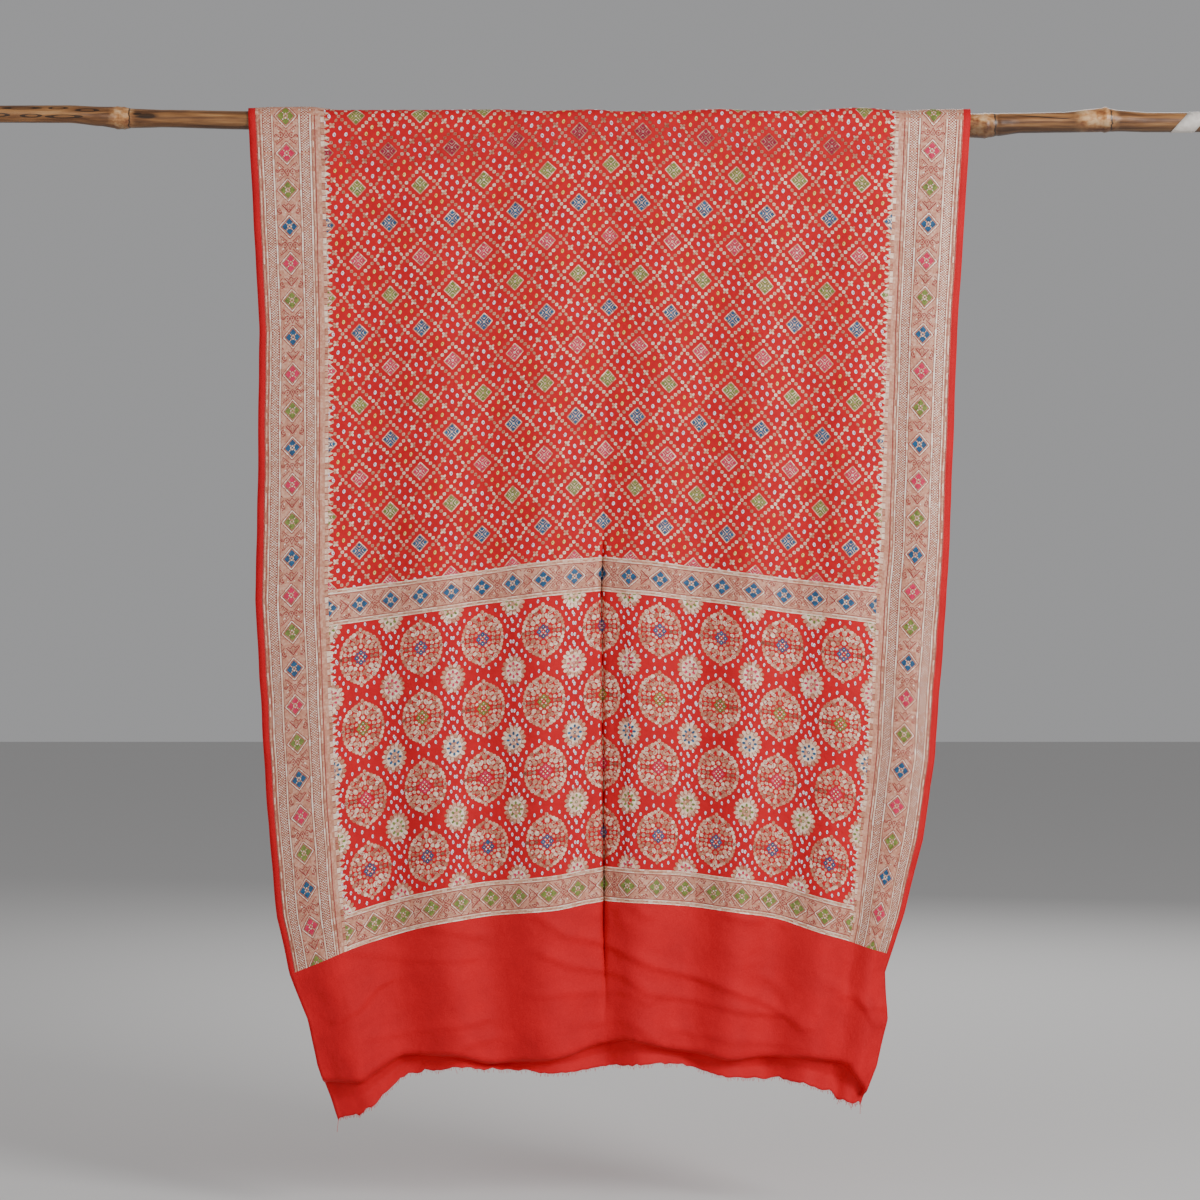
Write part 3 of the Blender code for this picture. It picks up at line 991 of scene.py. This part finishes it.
class Weaving:
    """Every placed shape of thread, by piece."""

    def __init__(self):
        self.pieces = {}

    def place(self, piece, motif, spots, edge=HALF_WIDTH, ends=(0.0, CLOTH_LENGTH)):
        """Copies of a motif with their middles at spots (u, t), cut off at the edge and the ends."""
        spots = np.array(spots, float)
        if not len(spots):
            return
        groups = {}
        for thread, layer, shape in motif.shapes:
            groups.setdefault((thread, layer), []).append(shape)
        for (thread, layer), shapes in groups.items():
            flat = np.array([point for shape in shapes for point in shape]) * MILLIMETRE
            sizes = np.array([len(shape) for shape in shapes])
            points = (spots[:, None, :] + flat[None, :, :]).reshape(-1, 2)
            points[:, 0] = np.clip(points[:, 0], -edge, edge)
            points[:, 1] = np.clip(points[:, 1], *ends)
            self.keep(piece, thread, layer, points, np.tile(sizes, len(spots)))

    def keep(self, piece, thread, layer, points, sizes):
        """Adds shapes and the same shapes half a turn round the cloth's middle."""
        key = (piece, thread)
        round_points = np.array([0.0, CLOTH_LENGTH]) - points
        for half in (points, round_points):
            self.pieces.setdefault(key, []).append((half, sizes, np.full(len(sizes), layer)))

    def gather(self, key):
        points = np.concatenate([part[0] for part in self.pieces[key]])
        sizes = np.concatenate([part[1] for part in self.pieces[key]])
        layers = np.concatenate([part[2] for part in self.pieces[key]])
        return without_slivers(points, sizes, layers)


def face_index(sizes):
    return np.repeat(np.arange(len(sizes)), sizes)


def without_slivers(points, sizes, layers):
    """Leaves out shapes that an edge has cut down to almost nothing."""
    owner = face_index(sizes)
    starts = np.concatenate([[0], np.cumsum(sizes)[:-1]])
    following = np.arange(len(points)) + 1
    last = starts + sizes - 1
    following[last] = starts
    cross = points[:, 0] * points[following, 1] - points[following, 0] * points[:, 1]
    areas = np.bincount(owner, cross, len(sizes)) / 2
    wide = areas > 0.12e-6
    return points[wide[owner]], sizes[wide], layers[wide]


FIRST_LIFT = 0.00055
LAYER_LIFT = 0.00018
RANDOM = np.random.default_rng(7)


def woven_piece(name, thread, points, sizes, layers):
    """One mesh of shapes, carried to the draped cloth and lifted a thread's thickness for each layer."""
    owner = face_index(sizes)
    lift = FIRST_LIFT + LAYER_LIFT * (layers[owner] - 1)
    normals = read_grid(NORMALS, points[:, 0], points[:, 1])
    normals /= np.maximum(np.linalg.norm(normals, axis=1, keepdims=True), 1e-9)
    places = read_grid(PLACES, points[:, 0], points[:, 1]) + normals * lift[:, None]
    mesh = mesh_of(name, places, np.arange(len(points)), sizes)
    middle = np.bincount(owner, points[:, 1], len(sizes)) / sizes
    add_maps(mesh, points[:, 0], points[:, 1], middle[owner])
    tone = mesh.attributes.new("tone", "FLOAT", "FACE")
    tone.data.foreach_set("value", RANDOM.random(len(sizes)).astype(np.float32))
    mesh.shade_smooth()
    mesh.normals_split_custom_set_from_vertices(normals)
    mesh.materials.append(THREADS[thread])
    return new_object(name, mesh)


def meena_of_row(row):
    """The coloured silk of a row of the design, the same in the field and in the borders."""
    return MEENA_CYCLE[(row - ROW_BAND) % 3]


def row_place(row):
    return PLAIN_END + row * ROW


MIDDLE_ROW = ROWS // 2


def weave_net(weaving):
    """The field between the blue bands: diamonds in a net of flowers and dots."""
    ends = (row_place(ROW_BAND), CLOTH_LENGTH - row_place(ROW_BAND))
    limits = {"edge": BORDER_LINE, "ends": ends}
    for row in range(ROW_BAND, MIDDLE_ROW + 1):
        shift = 0.5 if row % 2 == 0 else 0.0
        diamonds = [(k + shift) * PITCH for k in range(-5, 5)] if shift else [k * PITCH for k in range(-4, 5)]
        cells = [place + PITCH / 2 for place in diamonds[:-1]]
        cells += [-BORDER_LINE, BORDER_LINE] if not shift else []
        height = row_place(row)
        weaving.place("net", jaal_diamond(meena_of_row(row)), [(u, height) for u in diamonds], **limits)
        weaving.place("net", net_flower(), [(u, height) for u in cells], **limits)
        if row == MIDDLE_ROW:
            continue
        for thread, direction in (("white", 1), ("yellow", -1)):
            spots = [(u + direction * PITCH / 4, height + ROW / 2) for u in diamonds]
            weaving.place("net", dot_cluster(thread), [p for p in spots if abs(p[0]) < BORDER_LINE], **limits)


def weave_pallu(weaving):
    """The field between the two cross bands: medallions, rosettes and white dots."""
    limits = {"edge": BORDER_LINE, "ends": (row_place(1), row_place(9))}
    for row in range(2, 9, 2):
        spots = [(k * PITCH, row_place(row)) for k in range(-4, 5)]
        weaving.place("pallu", medallion(meena_of_row(row)), spots, **limits)
        weaving.place("pallu", pallu_dots(), spots, **limits)
    for row in range(1, 10, 2):
        spots = [((k + 0.5) * PITCH, row_place(row)) for k in range(-5, 5)]
        weaving.place("pallu", rosette(meena_of_row(row)), spots, **limits)


CROSS_BANDS = ((0, "green"), (9, "blue"))
BAND_LINES = ((0.8, 1.5, "cream"), (3.0, 0.9, "zari"), (4.8, 1.3, "cream"), (6.6, 0.7, "red"))


def weave_cross_bands(weaving):
    """The bands across the cloth: a row of framed diamonds between thin lines."""
    limits = {"edge": BORDER_LINE}
    fan, spade = fan_gap().quarter_turned(), spade_gap().quarter_turned()
    for row, meena in CROSS_BANDS:
        height = row_place(row) + ROW / 2
        diamonds = [(k * PITCH / 2, height) for k in range(-9, 10)]
        weaving.place("band", framed_diamond(meena), diamonds, **limits)
        weaving.place("band", fan, [((k + 0.5) * PITCH / 2, height) for k in range(-9, 9, 2)], **limits)
        weaving.place("band", spade, [((k + 0.5) * PITCH / 2, height) for k in range(-8, 9, 2)], **limits)
        for away, wide, thread in BAND_LINES:
            for base, inward in ((row_place(row), 1), (row_place(row) + ROW, -1)):
                long_line(weaving, "band", thread, base + inward * away * MILLIMETRE, wide, across=True)


def long_line(weaving, piece, thread, place, wide, across=False, ends=None):
    """A straight woven line, in stretches as short as the cloth's own steps."""
    cuts = COLUMNS[np.abs(COLUMNS) <= BORDER_LINE + 1e-6] if across else CLOTH_ROWS
    if not across:
        cuts = cuts[(cuts >= PLAIN_END - 1e-6) & (cuts <= CLOTH_LENGTH / 2 + 1e-6)]
    half = wide * MILLIMETRE / 2
    along = np.stack([cuts[:-1], cuts[1:], cuts[1:], cuts[:-1]], axis=1).ravel()
    aside = np.tile([-half, -half, half, half], len(cuts) - 1) + place
    points = np.stack([along, aside], axis=1) if across else np.stack([aside, along], axis=1)
    if not across:
        points = points.reshape(-1, 4, 2)[:, ::-1].reshape(-1, 2)
    weaving.keep(piece, thread, 1, points, np.full(len(cuts) - 1, 4))


# Across a border from its outer edge inwards, in millimetres: middle of the line, width, thread.
BORDER_LINES = (
    (10.3, 1.0, "red"),
    (12.4, 1.6, "zari"),
    (14.6, 0.7, "red"),
    (17.2, 1.6, "cream"),
    (18.6, 0.5, "red"),
    (29.6, 0.6, "red"),
    (31.4, 2.2, "cream"),
    (33.0, 0.5, "red"),
    (66.0, 0.5, "red"),
    (67.6, 2.2, "cream"),
    (69.4, 0.6, "red"),
    (80.4, 0.6, "red"),
    (82.0, 2.2, "cream"),
    (83.8, 0.6, "red"),
    (85.8, 1.4, "zari"),
    (88.2, 0.9, "red"),
)
# The two lattices: middle from the outer edge, in millimetres.
LATTICES = (24.2, 74.9)
BORDER_MOTIF = 49.6
LATTICE_PITCH = 3.2
LATTICE_COLUMNS = (-4.2, -2.1, 0.0, 2.1, 4.2)
TEETH_A_ROW = 6
TOOTH_LENGTH = 7.5


def weave_borders(weaving):
    """The long borders: lines, two lattices, a chain of framed diamonds, and the teeth."""
    fan, spade = fan_gap(), spade_gap()
    top = row_place(MIDDLE_ROW)
    for side in (1, -1):
        middle = side * (HALF_WIDTH - BORDER_MOTIF * MILLIMETRE)
        for row in range(0, MIDDLE_ROW + 1):
            diamond = framed_diamond(meena_of_row(row))
            weaving.place("border", diamond, [(middle, row_place(row))], ends=(PLAIN_END, top))
        fans = [(middle, row_place(row + 0.5)) for row in range(0, MIDDLE_ROW, 2)]
        spades = [(middle, row_place(row + 0.5)) for row in range(1, MIDDLE_ROW, 2)]
        weaving.place("border", fan, fans)
        weaving.place("border", spade, spades)
        for place, wide, thread in BORDER_LINES:
            long_line(weaving, "border", thread, side * (HALF_WIDTH - place * MILLIMETRE), wide)
        weave_lattice(weaving, side)
        weave_teeth(weaving, side)


def weave_lattice(weaving, side):
    """Pale and dark dots in a diamond check."""
    count = int((row_place(MIDDLE_ROW) - PLAIN_END) / (LATTICE_PITCH * MILLIMETRE))
    heights = PLAIN_END + (np.arange(count) + 0.5) * LATTICE_PITCH * MILLIMETRE
    pale, dark = Motif(), Motif()
    pale.add("cream", 1, [lozenge(0, 0, 1.05, 1.25)])
    dark.add("red", 1, [lozenge(0, 0, 0.85, 0.95)])
    for centre in LATTICES:
        for index, off in enumerate(LATTICE_COLUMNS):
            u = side * (HALF_WIDTH - (centre + off) * MILLIMETRE)
            shift = LATTICE_PITCH / 2 * MILLIMETRE * (index % 2)
            weaving.place("lattice", pale, [(u, height + shift) for height in heights])
            between = LATTICE_PITCH / 2 * MILLIMETRE - shift
            weaving.place("lattice", dark, [(u, height + between) for height in heights])


def weave_teeth(weaving, side):
    """The comb of pointed teeth along the inner side of a border."""
    step = ROW / TEETH_A_ROW / MILLIMETRE
    inner = side * BORDER_LINE
    tooth = Motif()
    root = [(0, step / 2 - 0.5), (0, 0.5 - step / 2)]
    base = [(side * 4.6, -step / 2), (side * 4.6, step / 2)]
    tooth.add("zari", 1, [base + root, root + [(-side * TOOTH_LENGTH, 0)]])
    tooth.add("cream", 2, [leaf(-side * 3.0, 0, 3.2, 0.9, 0)])
    tooth.add("red", 2, stroke([(side * 4.4, step / 2), (side * 0.4, step / 2)], 0.9))
    count = TEETH_A_ROW * MIDDLE_ROW
    spots = [(inner, PLAIN_END + (index + 0.5) * step * MILLIMETRE) for index in range(count)]
    weaving.place("border", tooth, spots)


def weave_all():
    weaving = Weaving()
    weave_net(weaving)
    weave_pallu(weaving)
    weave_cross_bands(weaving)
    weave_borders(weaving)
    return [
        woven_piece(f"{piece}_{thread}", thread, *weaving.gather((piece, thread)))
        for piece, thread in weaving.pieces
    ]


# ---------------------------------------------------------------- the cloth itself

GROUNDS = (
    georgette("georgette_plain", RED_LIT, RED_SHADED, 1.6),
    georgette("georgette_field", RED_LIT, RED_SHADED, 3.2),
    zari("zari_ground", ZARI_DARK, colour(205, 142, 116), colour(236, 194, 168), 0.15, 0.5),
)
PLAIN, FIELD, GOLD = range(3)


def ground_of(u, t):
    """Which ground the cloth has at each face's middle."""
    rows = np.minimum(t, CLOTH_LENGTH - t) - PLAIN_END
    across = np.abs(u)
    woven = (rows > 0) & (across < HALF_WIDTH - SELVAGE)
    banded = ((rows > 0) & (rows < ROW)) | ((rows > 9 * ROW) & (rows < 10 * ROW))
    gold = woven & ((across > BORDER_LINE) | banded)
    return np.where(gold, GOLD, np.where(woven, FIELD, PLAIN))


def make_cloth():
    high, wide = len(CLOTH_ROWS), len(COLUMNS)
    corner = (np.arange(high - 1)[:, None] * wide + np.arange(wide - 1)[None, :]).ravel()
    corners = np.stack([corner, corner + 1, corner + wide + 1, corner + wide], axis=1)
    mesh = mesh_of("bandhani_dupatta", PLACES.reshape(-1, 3), corners.ravel(), np.full(len(corners), 4))
    u, t = (grid.ravel()[corners] for grid in np.meshgrid(COLUMNS, CLOTH_ROWS))
    middle = np.repeat(t.mean(axis=1), 4)
    add_maps(mesh, u.ravel(), t.ravel(), middle)
    tone = mesh.attributes.new("tone", "FLOAT", "FACE")
    tone.data.foreach_set("value", RANDOM.uniform(0.3, 0.7, len(corners)).astype(np.float32))
    for ground in GROUNDS:
        mesh.materials.append(ground)
    mesh.polygons.foreach_set("material_index", ground_of(u.mean(axis=1), t.mean(axis=1)).astype(np.int32))
    mesh.shade_smooth()
    cloth = new_object("bandhani_dupatta", mesh)
    body = cloth.modifiers.new("thickness", "SOLIDIFY")
    body.thickness = SHOWN_THICKNESS
    body.offset = 0.0
    return cloth


THREAD_RADIUS = 0.0003


def ribbon(points, radius):
    """A thin three-sided thread through points, as (points, faces)."""
    rings, faces = [], []
    for x, y, z in points:
        for turn in (0, 120, 240):
            angle = math.radians(turn)
            rings.append((x + radius * math.cos(angle), y + radius * math.sin(angle), z))
    for step in range(len(points) - 1):
        for side in range(3):
            a, b = 3 * step + side, 3 * step + (side + 1) % 3
            faces.append((a, b, b + 3, a + 3))
    return rings, faces


def make_frayed_edge():
    """Short loose threads along the front raw edge, and a longer one at either corner."""
    points, faces = [], []
    places = list(np.linspace(-HALF_WIDTH + 0.004, HALF_WIDTH - 0.004, 330))
    lengths = RANDOM.uniform(0.001, 0.005, len(places))
    lengths[RANDOM.integers(0, len(places), 14)] *= 1.8
    threads = list(zip(places, lengths)) + [(-HALF_WIDTH + 0.001, 0.016), (HALF_WIDTH - 0.001, 0.012)]
    for u, length in threads:
        start = read_grid(PLACES, np.array([u]), np.array([0.0]))[0]
        lean, sway = RANDOM.uniform(-0.5, 0.5), RANDOM.uniform(-0.3, 0.3)
        line = []
        for share in (-0.25, 0.0, 0.35, 0.7, 1.0):
            drop = length * share
            line.append((start[0] + lean * drop + 0.1 * sway * drop, start[1] + sway * drop, start[2] - drop))
        rings, sides = ribbon(line[::-1], THREAD_RADIUS)
        faces += [tuple(index + len(points) for index in face) for face in sides]
        points += rings
    mesh = bpy.data.meshes.new("frayed_edge")
    mesh.from_pydata(points, [], faces)
    mesh.shade_smooth()
    finish = Finish("loose_thread", roughness=0.7)
    finish.set("Base Color", colour(200, 6, 26))
    mesh.materials.append(finish.material)
    return new_object("frayed_edge", mesh)


# ---------------------------------------------------------------- the bamboo pole

POLE_STEP = 0.0025
POLE_SIDES = 40
UNEVENNESS = 0.012
# Ring ridges at the nodes: place, extra radius, half width.
NODE_RINGS = (
    (-0.629, 0.0009, 0.0022),
    (-0.620, 0.0007, 0.0018),
    (-0.612, -0.0005, 0.0020),
    (0.481, 0.0008, 0.0022),
    (0.489, 0.0007, 0.0016),
    (0.495, -0.0006, 0.0016),
    (0.629, -0.0005, 0.0016),
    (0.634, 0.0010, 0.0020),
    (0.640, -0.0005, 0.0018),
)


def pole_profile(x):
    """Height and radius of the pole along it, rounded where the stretches meet."""
    height = eased(x, column(POLE, 0), column(POLE, 1))
    radius = eased(x, column(POLE, 0), column(POLE, 2))
    straight = np.interp(x, column(POLE, 0), column(POLE, 1))
    straight_radius = np.interp(x, column(POLE, 0), column(POLE, 2))
    height, radius = (height + straight) / 2, (radius + straight_radius) / 2
    for place, extra, half in NODE_RINGS:
        radius = radius + extra * np.exp(-(((x - place) / half) ** 2))
    return height, radius


def bamboo():
    """Smoked bamboo: streaks along it, pale and dark patches near the nodes, scorch and scribbled loops, and
    painted shade on its lower side.
    """
    finish = Finish("bamboo", roughness=0.36)
    place = finish.nodes.new("ShaderNodeTexCoord").outputs["Object"]
    streaks = finish.noise(finish.place_map((9.0, 170.0, 170.0)), 1.0, 5.0, 0.6)
    tint = finish.ramp(
        streaks,
        (0.28, colour(46, 26, 12)),
        (0.45, colour(110, 70, 38)),
        (0.62, colour(160, 112, 66)),
        (0.80, colour(206, 164, 112)),
    )
    mottle = finish.noise(finish.place_map((60.0, 90.0, 90.0)), 1.0, 3.0, 0.6)
    parts = finish.node("ShaderNodeSeparateXYZ", Vector=place)
    along, up = parts.outputs["X"], parts.outputs["Z"]
    near = None
    for centre, half in ((-0.622, 0.018), (0.470, 0.022), (0.484, 0.012), (0.622, 0.030)):
        gap = finish.math("ABSOLUTE", finish.math("SUBTRACT", along, centre))
        reach = finish.math("SUBTRACT", 1.0, finish.math("DIVIDE", gap, half))
        near = reach if near is None else finish.math("MAXIMUM", near, reach)
    near = finish.math("MULTIPLY", finish.math("MAXIMUM", near, 0.0), 1.6)
    spots = finish.ramp(
        mottle, (0.35, colour(120, 62, 28)), (0.5, colour(190, 134, 82)), (0.66, colour(228, 190, 142))
    )
    tint = finish.mix(finish.math("MINIMUM", near, 0.85), tint, spots)
    # Painted shade: the lower side of the pole is darkened towards dark brown, more so further down.
    painted_underside_shade = finish.math("MAXIMUM", finish.math("MULTIPLY_ADD", up, -90.0, -0.15), 0.0)
    painted_underside_shade = finish.math("MULTIPLY", finish.math("MINIMUM", painted_underside_shade, 1.0), 0.7)
    tint = finish.mix(painted_underside_shade, tint, colour(38, 22, 12))
    dark = scorch(finish, along, up)
    tint = finish.mix(dark, tint, colour(26, 16, 10))
    finish.link(tint, finish.shader.inputs["Base Color"])
    finish.bump(finish.math("ADD", streaks, finish.math("MULTIPLY", mottle, 0.5)), 0.0009, 0.5)
    return finish.material


# Dark scribbled loops near the left end: place along, height, half width, half height.
LOOPS = (
    (-0.750, 0.0140, 0.020, 0.0016),
    (-0.704, 0.0140, 0.010, 0.0016),
    (-0.738, 0.0040, 0.011, 0.0018),
    (-0.696, 0.0030, 0.019, 0.0018),
    (-0.666, 0.0110, 0.012, 0.0018),
    (-0.780, 0.0050, 0.012, 0.0020),
)
# Dark stains and cracks: place along, height, half length, half height, slope.
STAINS = (
    (-0.590, 0.0035, 0.013, 0.0035, 0.0),
    (-0.602, 0.0060, 0.006, 0.0020, 0.0),
    (0.553, 0.0020, 0.040, 0.0007, -0.075),
    (0.492, 0.0020, 0.0012, 0.0300, 0.0),
    (-0.613, 0.0020, 0.0010, 0.0300, 0.0),
    (0.6405, 0.0020, 0.0010, 0.0300, 0.0),
)


def oval_distance(finish, along, up, centre_x, centre_z, half_x, half_z, slope=0.0):
    """How far out of an oval a place on the pole is, with 1 on its rim."""
    x = finish.math("SUBTRACT", along, centre_x)
    z = finish.math("SUBTRACT", up, centre_z)
    z = finish.math("MULTIPLY_ADD", x, -slope, z) if slope else z
    x, z = finish.math("DIVIDE", x, half_x), finish.math("DIVIDE", z, half_z)
    square = finish.math("MULTIPLY_ADD", x, x, finish.math("MULTIPLY", z, z))
    return finish.math("SQRT", square)


def scorch(finish, along, up):
    """Where the pole is darkened: scribbled loops, burnt stains and a crack."""
    wander = finish.noise(finish.place_map((70.0, 200.0, 200.0)), 1.0, 2.0)
    along = finish.math("MULTIPLY_ADD", wander, 0.006, finish.math("SUBTRACT", along, 0.003))
    dark = None
    for centre_x, centre_z, half_x, half_z in LOOPS:
        rim = oval_distance(finish, along, up, centre_x, centre_z, half_x, half_z)
        gap = finish.math("ABSOLUTE", finish.math("SUBTRACT", rim, 1.0))
        line = finish.math("LESS_THAN", gap, 0.28)
        dark = line if dark is None else finish.math("MAXIMUM", dark, line)
    for centre_x, centre_z, half_x, half_z, slope in STAINS:
        rim = oval_distance(finish, along, up, centre_x, centre_z, half_x, half_z, slope)
        stain = finish.math("MULTIPLY", finish.math("SUBTRACT", 1.25, rim), 2.0)
        dark = finish.math("MAXIMUM", dark, stain)
    return finish.math("MULTIPLY", finish.math("MINIMUM", finish.math("MAXIMUM", dark, 0.0), 1.0), 0.85)


def make_pole():
    """A tube of rings whose radius follows the pole's growth, slightly uneven, with flat ends."""
    steps = round((POLE[-1][0] - POLE[0][0]) / POLE_STEP)
    x = np.linspace(POLE[0][0], POLE[-1][0], steps + 1)
    height, radius = pole_profile(x)
    angles = 2 * math.pi * np.arange(POLE_SIDES) / POLE_SIDES
    along, around = np.meshgrid(x, angles, indexing="ij")
    uneven = 1 + UNEVENNESS * waves(along * 14, np.cos(around) + 0.001, 1.0, 4.4)
    uneven = uneven + UNEVENNESS * waves(along * 90, np.sin(around), 1.0, 6.1)
    reach = radius[:, None] * uneven
    places = np.stack([along, reach * np.cos(around), height[:, None] + reach * np.sin(around)], axis=-1)
    rings = places.reshape(-1, 3)
    first = np.arange(steps)[:, None] * POLE_SIDES
    side = np.arange(POLE_SIDES)
    start = (first + side[None, :]).ravel()
    turn = (first + (side[None, :] + 1) % POLE_SIDES).ravel()
    faces = np.stack([start, turn, turn + POLE_SIDES, start + POLE_SIDES], axis=1)
    corners = np.concatenate([faces.ravel(), side[::-1], len(rings) - POLE_SIDES + side])
    sizes = np.concatenate([np.full(len(faces), 4), [POLE_SIDES, POLE_SIDES]])
    mesh = mesh_of("bamboo_stick", rings, corners, sizes)
    mesh.shade_smooth()
    mesh.set_sharp_from_angle(angle=math.radians(60))
    mesh.materials.append(bamboo())
    return new_object("bamboo_stick", mesh)


TAPE_FROM, TAPE_LEAN = 0.729, 0.012


def make_tape():
    """A strip of pale tape wound once round the pole near its right end, at a slant."""
    angles = np.linspace(0, 2 * math.pi, 49)[:-1]
    points, faces = [], []
    for share in (0.0, 0.33, 0.66, 1.0):
        for angle in angles:
            x = TAPE_FROM + TAPE_LEAN * math.sin(angle) + 0.030 * share
            height, radius = (float(value[0]) for value in pole_profile(np.array([x])))
            radius += 0.0005 + 0.0002 * math.sin(3 * angle + 2)
            points.append((x, radius * math.cos(angle), height + radius * math.sin(angle)))
    count = len(angles)
    for band in range(3):
        for side in range(count):
            a, b = band * count + side, band * count + (side + 1) % count
            faces.append((a, b, b + count, a + count))
    mesh = bpy.data.meshes.new("pale_tape")
    mesh.from_pydata(points, [], faces)
    mesh.shade_smooth()
    finish = Finish("pale_tape", roughness=0.5)
    grain = finish.noise(finish.place_map((200.0, 200.0, 200.0)), 1.0, 3.0)
    tint = finish.mix(grain, colour(176, 168, 160), colour(226, 220, 212))
    finish.link(tint, finish.shader.inputs["Base Color"])
    finish.bump(grain, 0.0004, 0.5)
    mesh.materials.append(finish.material)
    tape = new_object("pale_tape", mesh)
    body = tape.modifiers.new("thickness", "SOLIDIFY")
    body.thickness = 0.0004
    body.offset = 1.0
    return tape


# ---------------------------------------------------------------- stage

FLOOR_HEIGHT = -1.40
FLOOR_REACH = 14
VIEW_MIDDLE = (-0.012, -0.614)
VIEW_WIDTH = 1.524
VIEW_DISTANCE = 4.2
FRONT_OF_CLOTH = -0.030
SENSOR = 36.0


def make_stage():
    corners = ((-1, -1), (1, -1), (1, 1), (-1, 1))
    points = [(x * FLOOR_REACH, y * FLOOR_REACH, FLOOR_HEIGHT) for x, y in corners]
    mesh = bpy.data.meshes.new("floor")
    mesh.from_pydata(points, [], [(0, 1, 2, 3)])
    finish = Finish("pale_floor", roughness=0.9)
    finish.set("Base Color", (0.62, 0.61, 0.60, 1.0))
    mesh.materials.append(finish.material)
    new_object("floor", mesh)
    world = bpy.data.worlds.new("studio")
    world.use_nodes = True
    world.node_tree.nodes["Background"].inputs["Color"].default_value = (0.62, 0.62, 0.63, 1.0)
    world.node_tree.nodes["Background"].inputs["Strength"].default_value = 0.55
    bpy.context.scene.world = world


def make_light(name, place, aim, size, power):
    lamp = bpy.data.lights.new(name, "AREA")
    lamp.shape = "RECTANGLE"
    lamp.size, lamp.size_y = size
    lamp.energy = power
    thing = bpy.data.objects.new(name, lamp)
    bpy.context.scene.collection.objects.link(thing)
    thing.location = place
    thing.rotation_euler = (Vector(aim) - Vector(place)).to_track_quat("-Z", "Y").to_euler()
    return thing


def make_camera():
    camera = bpy.data.cameras.new("camera")
    camera.sensor_width = SENSOR
    camera.lens = SENSOR * (VIEW_DISTANCE + FRONT_OF_CLOTH) / VIEW_WIDTH
    camera.clip_end = 60
    thing = bpy.data.objects.new("camera", camera)
    bpy.context.scene.collection.objects.link(thing)
    thing.location = (VIEW_MIDDLE[0], -VIEW_DISTANCE, VIEW_MIDDLE[1])
    thing.rotation_euler = (math.pi / 2, 0, 0)
    bpy.context.scene.camera = thing


make_stage()
make_camera()
make_light("key", (2.3, -2.6, 0.7), (0, 0, -0.6), (1.2, 1.6), 120)
make_light("fill", (-2.6, -3.2, 0.2), (0, 0, -0.6), (2.0, 2.0), 40)
make_light("back", (0.8, 3.2, 1.2), (0, 0, -0.5), (2.0, 2.0), 60)

cloth = make_cloth()
woven = weave_all()
fray = make_frayed_edge()
stick = make_pole()
tape = make_tape()

for piece in [cloth, fray, *woven]:
    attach(piece, "root")
for piece in (stick, tape):
    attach(piece, "root")
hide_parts("bandhani_cloth")
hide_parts("bamboo_pole")
